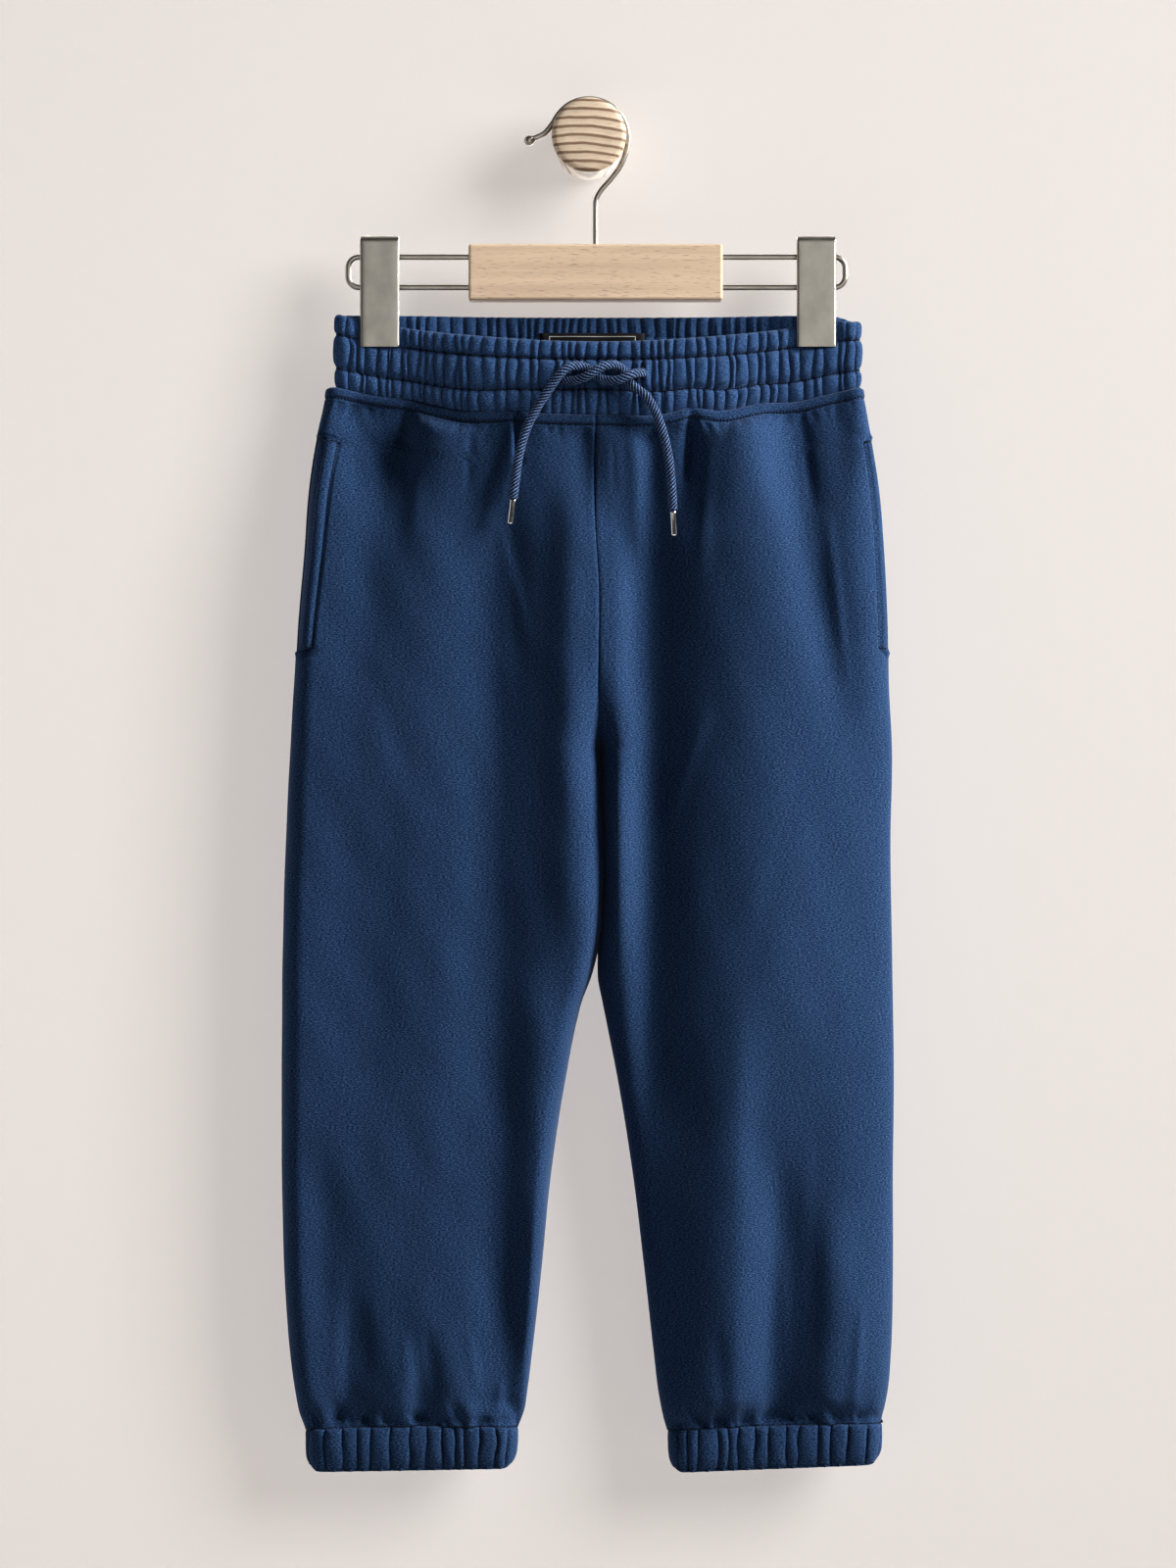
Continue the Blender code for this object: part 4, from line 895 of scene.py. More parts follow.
def half_plan(side, z):
    """Plan of one half at height z, inner end to side seam: distance from the middle
    line, roundness (1 on the flat, 0 at a fold) and length along it."""
    half = "left" if side < 0 else "right"
    middle = float(along(MIDDLE, "x", z))
    reach = side * (float(along(OUTLINE, half, z)) - middle)
    gap = crotch_gap(z)
    inner = float(along(DEPTH, "inner_" + half, z))
    outer = float(along(DEPTH, "outer_" + half, z))
    power = 2.0 / BLUNT
    start = 0.0
    if z >= CROTCH_Z:
        start = math.acos(min(1.0, max(0.0, 1.0 + gap / inner)) ** (1 / power))
    turn = np.linspace(start, math.pi / 2, 30)
    flat = np.linspace(gap + inner, reach - outer, 40)[1:-1]
    fold = np.linspace(math.pi / 2, 0.0, 40)
    away = np.concatenate((gap + inner * (1 - np.abs(np.cos(turn)) ** power), flat,
                           reach - outer * (1 - np.abs(np.cos(fold)) ** power)))
    roll = np.concatenate((np.sin(turn) ** power, np.ones(len(flat)),
                           np.abs(np.sin(fold)) ** power))
    away = np.maximum(away, SEAM / 2 if z >= CROTCH_Z + CROTCH_EASE else -PRESS)
    step = np.hypot(np.diff(away), FRONT_OPEN * np.diff(roll))
    return middle, away, roll, np.concatenate(([0.0], np.cumsum(step)))


def fold_rise(folds, x, z):
    """Rise of the hanging folds at places x, z."""
    total = np.zeros_like(x)
    for fold in folds:
        t = (fold.z_top - z) / (fold.z_top - fold.z_end)
        centre = fold.x_top + (fold.x_end - fold.x_top) * np.clip(t, 0.0, 1.0)
        width = np.where(x < centre, fold.left, fold.right)
        start = smooth((fold.z_top - z) / FOLD_START)
        if fold.z_top < HEM_Z - FOLD_START:
            start = smooth((fold.z_top - z) / FOLD_EASE)
        end = smooth((z - fold.z_end) / fold.fade) if fold.z_end > CUFF_Z else 1.0
        total = total + fold.rise * start * end * bell(x - centre, width)
    return total


def puckers(x, z):
    """Short gathers just above the cuff seam."""
    near = bell(z - CUFF_Z, PUCKER_LENGTH)
    drift = PUCKER_DRIFT * np.sin(x / PUCKER_ROUND)
    wave = np.cos(2 * math.pi * (x + drift) / PUCKER_PITCH)
    return PUCKER_RISE * near * wave


def surface(side, q, z):
    """Outer face of one half. q runs 0 to 1 over the front from the inner end to the
    side seam, and 1 to 2 over the back to the inner end again."""
    q = np.asarray(q, dtype=float)
    face = np.where(q <= 1.0, -1.0, 1.0)
    middle, away, roll, length_along = half_plan(side, z)
    at = np.where(q <= 1.0, q, 2.0 - q) * length_along[-1]
    x = middle + side * np.interp(at, length_along, away)
    round_off = np.interp(at, length_along, roll)
    below = HEM_Z - z
    height = z - droop(x, face, 1.0) * (1.0 - smooth(below / DROOP_FADE))
    blend = smooth(below / BODY_FADE)
    leg = np.where(face < 0, along(DEPTH, "front", z), along(DEPTH, "back", z))
    depth = (half_depth_at_band(x, face) + BODY_PROUD) * (1.0 - blend) + leg * blend
    folds = np.where(face < 0, fold_rise(FRONT_FOLDS, x, z), fold_rise(BACK_FOLDS, x, z))
    depth = np.maximum(depth + folds * smooth(below / FOLD_START) + puckers(x, z), THIN)
    y = HANG_Y + face * depth * round_off
    return np.stack((x, y, height), axis=-1)


def pocket_gape(side, z):
    """Width of facing that shows in the pocket mouth at height z."""
    t = (POCKET_TOP - z) / (POCKET_TOP - POCKET_END)
    if t <= 0.0 or t >= 1.0:
        return 0.0
    mouth = MOUTHS["left" if side < 0 else "right"]
    away, run = half_plan(side, z)[1::2]
    inside = away[-1] - mouth.top - (mouth.end - mouth.top) * t
    gape = run[-1] - float(np.interp(inside, away, run))
    return gape * float(smooth(t / MOUTH_EASE) * smooth((1.0 - t) / MOUTH_EASE))


def cuff_edge(x, z):
    """Seam line of a cuff: tilted and slightly arched, faded out above it."""
    line = np.zeros_like(x)
    for cuff, here in ((CUFFS[0], x < 0), (CUFFS[1], x >= 0)):
        t = np.clip((x - cuff.left) / (cuff.right - cuff.left), 0.0, 1.0)
        edge = cuff.z_left + (cuff.z_right - cuff.z_left) * t + cuff.arch * 4 * t * (1 - t)
        line = np.where(here, edge, line)
    return (line - CUFF_Z) * smooth(1.0 - (z - CUFF_Z) / CUFF_FADE)


def cuff_reach(x):
    """Half depth of the cuffs' outer face at places x, less what the legs lie inside it."""
    half = np.zeros_like(x)
    for cuff, here in ((CUFFS[0], x < 0), (CUFFS[1], x >= 0)):
        from_end = np.minimum(x - cuff.left, cuff.right - x)
        rest = 1.0 - np.clip(from_end / CUFF_ROUND, 0.0, 1.0)
        round_off = (1.0 - rest ** BLUNT) ** (1.0 / BLUNT)
        half = np.where(here, (CUFF_DEPTH - LEG_INSIDE) * round_off, half)
    return half


def beside(crease, x, z):
    """How far down a crease each place lies, its distance from it and its width there."""
    t = (crease.z_top - z) / (crease.z_top - crease.z_end)
    centre = crease.x_top + (crease.x_end - crease.x_top) * t
    return t, x - centre, np.where(x < centre, crease.left, crease.right)


def crease_rise(creases, x, z):
    """Rise of the finer creases, each full in its middle and gone at both ends."""
    total = np.zeros_like(x)
    for crease in creases:
        t, away, width = beside(crease, x, z)
        span = np.sin(math.pi * np.clip(t, 0.0, 1.0)) ** 0.8
        total += crease.rise * span * bell(away, width)
    return total


def short_gathers(ends, z, down, short, seed):
    """Uneven short creases that run from a seam at height z, up or down."""
    chance = random.Random(seed)
    creases = []
    pitch = (ends[1] - ends[0]) / short.count
    for k in range(short.count):
        x = ends[0] + pitch * (k + chance.uniform(0.2, 0.8))
        reach = chance.uniform(short.shortest, short.longest) * down
        lean = reach * chance.uniform(-0.55, 0.55)
        rise = -short.deepest * chance.uniform(0.3, 1.0)
        creases.append(Crease(x, z, x + lean, z - reach, rise,
                              short.narrow * chance.uniform(1.0, 1.6),
                              short.narrow * chance.uniform(1.3, 2.4)))
    return creases


def gather_rise(creases, x, z):
    """Rise of short creases that are full at their seam end and widen away from it."""
    total = np.zeros_like(x)
    for crease in creases:
        t, away, width = beside(crease, x, z)
        width = width * (1.0 + 1.2 * np.clip(t, 0, 1))
        total += crease.rise * smooth(1.3 * (1.0 - t)) * bell(away, width)
    return total


def ripple(x, z, seed):
    """Faint unevenness of hanging cloth."""
    chance = random.Random(seed)
    total = np.zeros_like(x)
    for _ in range(9):
        pitch = chance.uniform(22.0, 70.0)
        turn = chance.uniform(-0.6, 0.6)
        wave = (x * math.cos(turn) + z * math.sin(turn)) / pitch
        total += chance.uniform(0.04, 0.12) * np.sin(2 * math.pi * wave + chance.uniform(0, 6.28))
    return total


def panel_heights(fine):
    """Heights of the panel's rows: close at the hem and the cuff, even between."""
    hem = np.arange(0.0, 8.0, 0.55)
    legs = np.arange(8.0, HEM_Z - CUFF_Z - 24.0, fine)
    ends = np.linspace(HEM_Z - CUFF_Z - 24.0, HEM_Z - CUFF_Z, 18)
    return HEM_Z - np.concatenate((hem, legs, ends))


def panel_places(width, columns):
    """Run along a row from its inner seam: close at both edges, even between."""
    close = np.array((0.0, 0.5, 1.0, 1.7, 2.6, 3.8, 5.2, 6.4, 7.6))
    even = np.linspace(close[-1], width - close[-1], columns)[1:-1]
    return np.concatenate((close, even, width - close[::-1]))


def seam_roll(run):
    """The cloth dips into a sewn seam."""
    return -SEAM_DIP * bell(run, SEAM_WIDTH)


def panel_base(side, face, columns, heights):
    """Plain points of a panel. For each point also its run from the inner seam, the run
    left to its outer edge, and how wide the pocket gapes at its height."""
    points, runs, spare, gapes = [], [], [], []
    for z in heights:
        whole = half_plan(side, z)[3][-1]
        gape = pocket_gape(side, z) if face < 0 else 0.0
        run = panel_places(whole - gape, columns)
        q = run / whole
        points.append(surface(side, q if face < 0 else 2.0 - q, z))
        runs.append(run)
        spare.append(whole - gape - run)
        gapes.append(np.full_like(run, gape))
    return np.array(points), np.array(runs), np.array(spare), np.array(gapes)


def panel_relief(side, face, x, z, run, spare, gape):
    """Rise of creases, gathers, hem, seams and pocket edge over a panel's plain points."""
    drop = HEM_Z - z
    seed = 40 + side + 3 * face
    ends = (float(x.min()), float(x.max()))
    under_hem = short_gathers(ends, HEM_Z - HEM_STRIP, 1.0, HEM_EASE, seed)
    over_cuff = short_gathers(ends, CUFF_Z, -1.0, CUFF_PLEATS, seed + 50)
    over_cuff += short_gathers(ends, CUFF_Z, -1.0, CUFF_PUCKERS, seed + 90)
    rise = crease_rise(FRONT_CREASES if face < 0 else BACK_CREASES, x, z)
    rise += gather_rise(under_hem, x, z) * smooth((drop - HEM_STRIP) / 3.0)
    rise += gather_rise(over_cuff, x, z) * (0.5 + 0.5 * smooth((z - CUFF_Z) / 3.0))
    rise += ripple(x, z, seed + 7) * smooth(drop / 30.0)
    rise *= smooth(np.minimum(run, spare) / SEAM_FADE)
    strip = smooth(drop / 1.2) * smooth((HEM_STRIP - drop) / 2.0)
    groove = bell(drop - HEM_STRIP, GROOVE_WIDTH)
    overhang = sum(bell(x - dip.x, dip.width) for dip in HEM_DIPS if dip.drop > 0)
    tucked = overhang * smooth((drop - HEM_STRIP + 1.0) / 1.5) * np.exp(-drop / TUCK_REACH)
    rise = (rise + HEM_PROUD * strip - HEM_GROOVE * groove - HEM_EDGE * bell(drop, HEM_EDGE)
            - HEM_TUCK * tucked)
    open_here = smooth(gape / 2.5)
    welt = smooth(spare / 1.2) * smooth((WELT - spare) / 1.6)
    rise += seam_roll(run) + seam_roll(spare) * (1.0 - open_here)
    rise += open_here * (WELT_PROUD * welt - WELT_GROOVE * bell(spare - WELT, 0.8))
    return rise - 0.2 * bell(z - CUFF_Z, 0.9)


def fit_edges(points, side, face, heights, run, spare):
    """Bring a panel's points to its neighbours: the other face and half, the cuff, the hem."""
    z = heights[:, None]
    depth = face * (points[..., 1] - HANG_Y)
    depth = np.maximum(depth, SEAM / 2)
    at_cuff = smooth(1.0 - (z - CUFF_Z) / SEAM_EASE)
    depth += (np.maximum(depth, cuff_reach(points[..., 0])) - depth) * at_cuff
    points[..., 1] = HANG_Y + face * depth
    middle = along(MIDDLE, "x", heights)[:, None]
    closest = np.where(heights < CROTCH_Z + CROTCH_EASE, -PRESS, SEAM / 2)[:, None]
    points[..., 0] = middle + side * np.maximum(side * (points[..., 0] - middle), closest)
    joined = bell(run, SEAM_WIDTH) * smooth((z - CROTCH_Z + 3.0) / 3.0)
    points[..., 0] += (middle + side * closest - points[..., 0]) * joined
    if side < 0:
        under = bell(run, 0.5) * smooth((z - CROTCH_Z) / CROTCH_EASE)
        points[..., 0] += SEAM_TUCK * under
        points[..., 1] -= face * SEAM_DEPTH * under
    points[..., 2] += cuff_edge(points[..., 0], np.broadcast_to(z, run.shape))
    points[..., 2] -= HEM_CORNER * np.exp(-(spare / 3.5) ** 2 - (HEM_Z - z) / 6.0)
    return points


def build_grid(side, face, columns, fine):
    """Points of a front or back panel, with its hem, seams, pocket edge and creases."""
    heights = panel_heights(fine)
    points, run, spare, gape = panel_base(side, face, columns, heights)
    z = np.broadcast_to(heights[:, None], run.shape)
    normal = grid_normals(points, -side * -face)
    normal[..., 2] *= smooth((z - CUFF_Z) / 9.0)
    relief = panel_relief(side, face, points[..., 0], z, run, spare, gape)
    points = fit_edges(points + normal * relief[..., None], side, face, heights, run, spare)
    return points, heights, spare


# ---------------------------------------------------------------- sewing

def lay_stitches(name, lines, pitch=STITCH_PITCH, stitch=STITCH):
    """Thread stitches along lines of points, each a small rounded bar."""
    bm = bmesh.new()
    for line in lines:
        way = resample(np.asarray(line), pitch)
        for a, b in zip(way, way[1:]):
            middle = Vector((a + b) / 2 * MM)
            turn = Vector(b - a).to_track_quat("X", "Z").to_matrix().to_4x4()
            size = Matrix.Diagonal((stitch / 2 * MM, THREAD * MM, THREAD * MM, 1.0))
            bmesh.ops.create_uvsphere(bm, u_segments=5, v_segments=4, radius=1.0,
                                      matrix=Matrix.Translation(middle) @ turn @ size)
    mesh = bpy.data.meshes.new(name)
    bm.to_mesh(mesh)
    bm.free()
    mesh.shade_smooth()
    return add_piece(name, mesh, thread_and_hole_shade_material())


# ---------------------------------------------------------------- gathered bands

def loop_plan(left, right, rounding, front_depth, back_depth):
    """Points of a closed plan path, front from left to right and back again."""
    power = 2.0 / BLUNT
    turn = np.linspace(0.0, math.pi / 2, 60)
    reach = rounding * (1 - np.cos(turn) ** power)
    roll = np.sin(turn) ** power
    flat = np.linspace(left + rounding, right - rounding, 400)[1:-1]
    x = np.concatenate((left + reach, flat, right - reach[::-1]))
    rolls = np.concatenate((roll, np.ones(len(flat)), roll[::-1]))
    front = np.stack((x, HANG_Y - front_depth(x) * rolls), axis=-1)
    back = np.stack((x, HANG_Y + back_depth(x) * rolls), axis=-1)[::-1]
    return np.concatenate((front, back[1:]))


def gather_places(pleats, seed):
    """Places along a closed loop, one to a gather, with uneven widths."""
    chance = random.Random(seed)
    ends = np.concatenate(([0.0], np.cumsum([chance.uniform(0.6, 1.45) for _ in range(pleats)])))
    return ends / ends[-1]


def wander(chance, count, drops, drift):
    """Random places of each gather at a few drops, smooth between them."""
    knots = np.linspace(0.0, drops[-1] + 0.01, 3 + int(drops[-1] / WANDER_PITCH))
    table = np.array([[chance.uniform(-drift, drift) for _ in range(count)] for _ in knots])
    return smooth_curve(knots, table, drops)


def zone_shifts(chance, gather, levels, reach):
    """Each zone between two seams has its gathers in places of its own."""
    shift = np.zeros((len(levels), gather.pleats))
    last = np.zeros(gather.pleats)
    for seam in gather.seams:
        new = np.array([chance.uniform(-reach, reach) for _ in range(gather.pleats)])
        shift += smooth((levels - seam) / 1.2 + 0.5)[:, None] * (new - last)
        last = new
    return shift


def casing_drops(total, gather):
    """Drops of a casing's rows: outer face upwards, rolled edge, inner face downwards."""
    outer = np.linspace(total, 0.9, gather.rows)
    for seam in gather.seams:
        outer = np.concatenate((outer[np.abs(outer - seam) > 1.5], seam + np.array(SEAM_ROWS)))
    outer = np.sort(outer)[::-1]
    roll = np.linspace(0.0, math.pi, 7)[1:-1]
    inner = np.linspace(0.9, total, gather.inner_rows)
    if gather.seams:
        near = gather.seams[0] + np.array(SEAM_ROWS[1:-1])
        inner = np.sort(np.concatenate((inner[np.abs(inner - gather.seams[0]) > 1.2], near)))
    return outer, roll, inner


def loop_spots(path, run, s):
    """Points and outward directions at lengths s along a closed plan path."""
    x = np.interp(s, run, path[:, 0])
    y = np.interp(s, run, path[:, 1])
    ahead = np.mod(s + 0.6, run[-1])
    behind = np.mod(s - 0.6, run[-1])
    dx = np.interp(ahead, run, path[:, 0]) - np.interp(behind, run, path[:, 0])
    dy = np.interp(ahead, run, path[:, 1]) - np.interp(behind, run, path[:, 1])
    size = np.hypot(dx, dy)
    return np.stack((x, y), axis=-1), np.stack((dy / size, -dx / size), axis=-1)


def band_grid(path, rows, gather, grip, edge, seed, detail=None):
    """Section of a gathered casing carried round a closed path, and its outer rows' drops."""
    run = run_of(path)
    chance = random.Random(seed)
    total = rows[-1].drop
    outer, roll, inner = casing_drops(total, gather)
    drops = np.concatenate((outer, 0.9 - 0.9 * np.sin(roll), inner))
    levels = np.arange(0.0, total + 0.6, LEVEL)
    place = gather_places(gather.pleats, seed) * run[-1]
    drift = wander(chance, gather.pleats, levels, gather.drift)
    drift += zone_shifts(chance, gather, levels, 0.22 * run[-1] / gather.pleats)
    depth = np.clip(0.85 + wander(chance, gather.pleats, levels, 0.5), 0.12, 1.25)
    plump = np.clip(1.0 + wander(chance, gather.pleats, levels, 0.45), 0.4, 1.6)
    slant = wander(chance, gather.pleats, levels, 0.5)
    table_drop = np.array([row.drop for row in rows])
    swell = smooth_curve(table_drop, np.array([row.out for row in rows]), drops)
    shows = smooth_curve(table_drop, np.array([row.gather for row in rows]), drops)
    t = np.array(STEPS_IN_PLEAT)
    half = np.mod(t + 0.5, 1.0)
    grid = []
    for k, drop in enumerate(drops):
        at = int(round(max(drop, 0.0) / LEVEL))
        lines = place[:-1] + drift[at]
        lines = np.append(lines, lines[0] + run[-1])
        width = np.diff(lines)[:, None]
        s = np.mod((lines[:-1, None] + t * width).ravel(), run[-1])
        cut = np.append(depth[at], depth[at][0])[:, None]
        plumps = plump[at][:, None]
        bulge = plumps * np.sin(math.pi * t ** (2.0 ** slant[at])[:, None])
        valley = (cut[:-1] * np.exp(-t * width / gather.cut_width)
                  + cut[1:] * np.exp(-(1 - t) * width / gather.cut_width))
        within = 0.9 * np.sin(math.pi * half) * plumps
        within -= 1.5 * cut[:-1] * np.exp(-np.abs(t - 0.5) * width / gather.cut_width)
        spot, normal = loop_spots(path, run, s)
        x = spot[:, 0]
        faces = np.where(s <= run[len(path) // 2], -1.0, 1.0)
        loose = 1.0 - 0.85 * grip(x) * (1.0 - smooth((drop - GRIP_END) / 4.0))
        from_end = np.minimum(x - path[:, 0].min(), path[:, 0].max() - x)
        loose = loose * (1.0 - 0.4 * bell(from_end, 7.0))
        wavy = (gather.bulge * bulge - gather.cut * valley).ravel() * shows[k] * loose
        within = within.ravel() * loose
        if k < len(outer):
            out = swell[k] * loose + wavy
            if detail:
                out = out + detail(x, faces, drop)
        elif k < len(outer) + len(roll):
            part = (1 - math.cos(roll[k - len(outer)])) / 2
            out = (swell[k] * loose + wavy) * (1 - part) - (gather.wall + within) * part
        else:
            pinched = np.minimum(swell[k], 0.0) * 0.8
            out = -(gather.wall + pinched + within * shows[k])
        z = edge(x, faces, max(drop, 0.0) / total) - drop
        row = np.column_stack((spot + normal * out[:, None], z))
        grid.append(np.vstack((row, row[:1])))
    grid.append(grid[0])
    return np.array(grid), outer


def build_band(name, node, path, rows, gather, grip, edge, seed, detail=None):
    grid, outer = band_grid(path, rows, gather, grip, edge, seed, detail)
    uv = grid_uv(grid, run_of(grid[:, 0]))
    mesh = grid_mesh(name, grid, uv, merge=True, flip=False)
    piece = add_piece(name, mesh, fleece_material())
    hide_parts(node)
    return grid, outer


def buttonholes(x, face, drop):
    """Slits in the front of the waistband, each with a raised sewn rim."""
    total = np.zeros_like(x)
    for hole in BUTTONHOLES:
        window = smooth((drop - hole.top) / 1.2) * smooth((hole.bottom - drop) / 1.2)
        rim = 0.9 * bell(np.abs(x - hole.x) - 2.0, 1.0)
        total += window * (rim - 3.2 * bell(x - hole.x, 0.75))
    return np.where(face < 0, total, 0.0)


# ---------------------------------------------------------------- cords and wires

def tube_mesh(name, points, radius, sides, relief=None):
    """Round tube along a line of points, with its ends closed and its own map."""
    run = run_of(points)
    way = np.gradient(points, axis=0)
    way /= np.linalg.norm(way, axis=1, keepdims=True)
    up = np.cross(way[0], (0.3, 0.2, 1.0))
    rings = []
    turn = np.linspace(0.0, 2 * math.pi, sides + 1)
    for k, point in enumerate(points):
        up = up - way[k] * np.dot(up, way[k])
        up /= np.linalg.norm(up)
        aside = np.cross(way[k], up)
        wide = radius[k] if hasattr(radius, "__len__") else radius
        wide = wide * (1.0 + (relief(turn, run[k]) if relief else 0.0)) * np.ones_like(turn)
        round_it = np.cos(turn)[:, None] * up + np.sin(turn)[:, None] * aside
        rings.append(point + wide[:, None] * round_it)
    rings = np.array(rings)
    around = turn[None, :] * float(np.max(radius))
    uv = np.stack(np.broadcast_arrays(around, run[:, None]), axis=-1)
    mesh = grid_mesh(name, rings, uv, merge=True, flip=False)
    bm = bmesh.new()
    bm.from_mesh(mesh)
    bmesh.ops.holes_fill(bm, edges=[e for e in bm.edges if e.is_boundary], sides=0)
    bmesh.ops.recalc_face_normals(bm, faces=bm.faces)
    bm.to_mesh(mesh)
    bm.free()
    mesh.shade_smooth()
    mesh.set_sharp_from_angle(angle=math.radians(50))
    return mesh


def add_tube(name, node, line, radius, sides, material, relief=None):
    """Round tube in place of a node."""
    piece = add_piece(name, tube_mesh(name, line, radius, sides, relief), material)
    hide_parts(node)
    return piece


def braid(turn, run):
    """Relief of a round braid: yarns crossing in two directions."""
    one = np.sin(BRAID_YARNS * turn + 2 * math.pi / BRAID_PITCH * run)
    other = np.sin(BRAID_YARNS * turn - 2 * math.pi / BRAID_PITCH * run)
    return 0.05 * (np.maximum(one * (other > 0), other * (one < 0)) - 0.4)


# ---------------------------------------------------------------- operators

class JOGGERS_OT_drawcords(bpy.types.Operator):
    """Two free ends of the drawcord and their metal tips"""
    bl_idname = "joggers.drawcords"
    bl_label = "Drawcords"

    def execute(self, context):
        cord = settings().cord
        tip_metal = metal_material("polished_tip", (0.80, 0.80, 0.80), 0.16)
        for side, route in (("left", LEFT_STRAND), ("right", RIGHT_STRAND)):
            points = curve_through(np.array(route) / MM, 0.35)
            strand = add_tube("cord_" + side, "drawcord_" + side, points,
                              cord.diameter / MM / 2, 42, cord_material(), braid)
            way = points[-1] - points[-4]
            way /= np.linalg.norm(way)
            steps = np.array([row.along for row in TIP_PROFILE])
            wide = np.array([row.wide for row in TIP_PROFILE]) * TIP_RADIUS
            line = points[-1] + way * (SEAM + TIP_LENGTH * steps[:, None])
            metal = add_tube("cord_tip_" + side, "tip_" + side, line, wide, 32, tip_metal)
        return {"FINISHED"}


class JOGGERS_OT_panels(bpy.types.Operator):
    """Front and back panels of both legs, with hem, seams and folds"""
    bl_idname = "joggers.panels"
    bl_label = "Leg panels"

    def execute(self, context):
        wall = settings().fleece.wall
        hem_lines = []
        cuff_lines = []
        pocket_lines = []
        for side, label in SIDES:
            for face, word, columns, fine in ((-1, "front", 180, 2.5), (1, "back", 96, 2.8)):
                points, heights, spare = build_grid(side, face, columns, fine)
                node = word + "_" + label
                uv = grid_uv(points, HEM_Z - heights)
                mesh = grid_mesh("cloth_" + node, points, uv, merge=False, flip=side * face < 0)
                add_cloth("cloth_" + node, node, mesh, fleece_material(), wall)
                row = int(np.argmin(np.abs(HEM_Z - HEM_STRIP - heights)))
                inner = slice(EDGE_STITCHES, -EDGE_STITCHES)
                hem_lines.append(points[row, inner] + (0.0, face * STITCH_LIFT, 0.0))
                cuff_lines.append(points[-1, inner] + (0.0, face * 0.15, 0.3))
                if face > 0:
                    continue
                column = int(np.argmin(np.abs(spare[0] - WELT)))
                inside = (heights < POCKET_TOP - 3) & (heights > POCKET_END + 4)
                pocket_lines.append(points[inside, column] + (side * 0.1, -0.2, 0.0))
                for end in (POCKET_TOP - BARTACK, POCKET_END + BARTACK):
                    row = int(np.argmin(np.abs(end - heights)))
                    pocket_lines.append(points[row, column:-4] + (0.0, -0.2, 0.0))
        lay_stitches("hem_stitches", hem_lines)
        lay_stitches("cuff_stitches", cuff_lines, STITCH_PITCH, STITCH * 0.8)
        lay_stitches("pocket_stitches", pocket_lines)
        return {"FINISHED"}


class JOGGERS_OT_facings(bpy.types.Operator):
    """Pocket facings, seen in the pocket mouths"""
    bl_idname = "joggers.facings"
    bl_label = "Pocket facings"

    def execute(self, context):
        depth = FLEECE + FACING_GAP
        heights = np.linspace(POCKET_TOP - 1.0, POCKET_END + 1.0, 60)
        for side, label in SIDES:
            rows, from_seam, open_widths = [], [], []
            for z in heights:
                whole = half_plan(side, z)[3][-1]
                gape = pocket_gape(side, z)
                away = np.linspace(gape + FACING_UNDER, 0.0, 24)
                from_seam.append(away)
                open_widths.append(gape + 0.1)
                rows.append(surface(side, (whole - away) / whole, z))
            points = np.array(rows)
            under = smooth(np.array(from_seam) / np.array(open_widths)[:, None])
            dip = FACING_SEAM + (depth - FACING_SEAM) * under
            points = points - grid_normals(points, -side) * dip[..., None]
            points[..., 1] = np.minimum(points[..., 1], HANG_Y - SEAM / 2)
            uv = grid_uv(points, -heights)
            mesh = grid_mesh("facing_" + label, points, uv, merge=False, flip=side > 0)
            add_cloth("facing_" + label, "pocket_" + label, mesh, fleece_material(),
                      FACING * MM)
        return {"FINISHED"}


class JOGGERS_OT_waistband(bpy.types.Operator):
    """Gathered waistband with its two rows of stitches"""
    bl_idname = "joggers.waistband"
    bl_label = "Waistband"

    def execute(self, context):
        plan = loop_plan(BAND_LEFT, BAND_RIGHT, BAND_ROUND,
                         lambda x: half_depth_at_band(x, -1.0),
                         lambda x: half_depth_at_band(x, 1.0))
        slack = BAND_TOP - BAND_HEIGHT - HEM_Z - HEM_GAP

        def edge(x, face, low):
            lift = ROW_LIFT * 4 * low ** 2 * (1 - low) * (face < 0)
            lift = lift * bell(x - HANGER_X, ROW_LIFT_SPREAD)
            return BAND_TOP - slack * low - droop(x, face, low) + lift

        grid, drops = build_band("cloth_waistband", "waistband", plan, BAND_ROWS, BAND_GATHER,
                                 clip_grip, edge, 7, buttonholes)
        lines = []
        for drop in BAND_GATHER.seams:
            row = int(np.argmin(np.abs(drops - drop)))
            line = grid[row].copy()
            line[:, 1] += np.where(line[:, 1] < HANG_Y, -0.6, 0.6)
            lines.append(line)
        lay_stitches("waistband_stitches", lines)
        return {"FINISHED"}


class JOGGERS_OT_cuffs(bpy.types.Operator):
    """Gathered ankle cuffs"""
    bl_idname = "joggers.cuffs"
    bl_label = "Cuffs"

    def execute(self, context):
        for seed, cuff in enumerate(CUFFS, start=21):
            def edge(x, face, low, cuff=cuff):
                t = np.clip((x - cuff.left) / (cuff.right - cuff.left), 0.0, 1.0)
                line = cuff.z_left + (cuff.z_right - cuff.z_left) * t
                arch = cuff.arch * 4 * t * (1 - t) * (1 - low)
                from_end = np.minimum(x - cuff.left, cuff.right - x)
                corner = CUFF_CORNER * low ** 3 * bell(np.maximum(from_end, 0.0), 3.0)
                return line + arch + corner - CUFF_GAP - CUFF_TILT * (1 - t) * low

            def depth(x):
                return np.full_like(x, CUFF_DEPTH)

            plan = loop_plan(cuff.left, cuff.right, CUFF_ROUND, depth, depth)
            build_band("cloth_cuff_" + cuff.side, "cuff_" + cuff.side, plan, CUFF_ROWS,
                       CUFF_GATHER, lambda x: np.zeros_like(x), edge, seed)
        return {"FINISHED"}


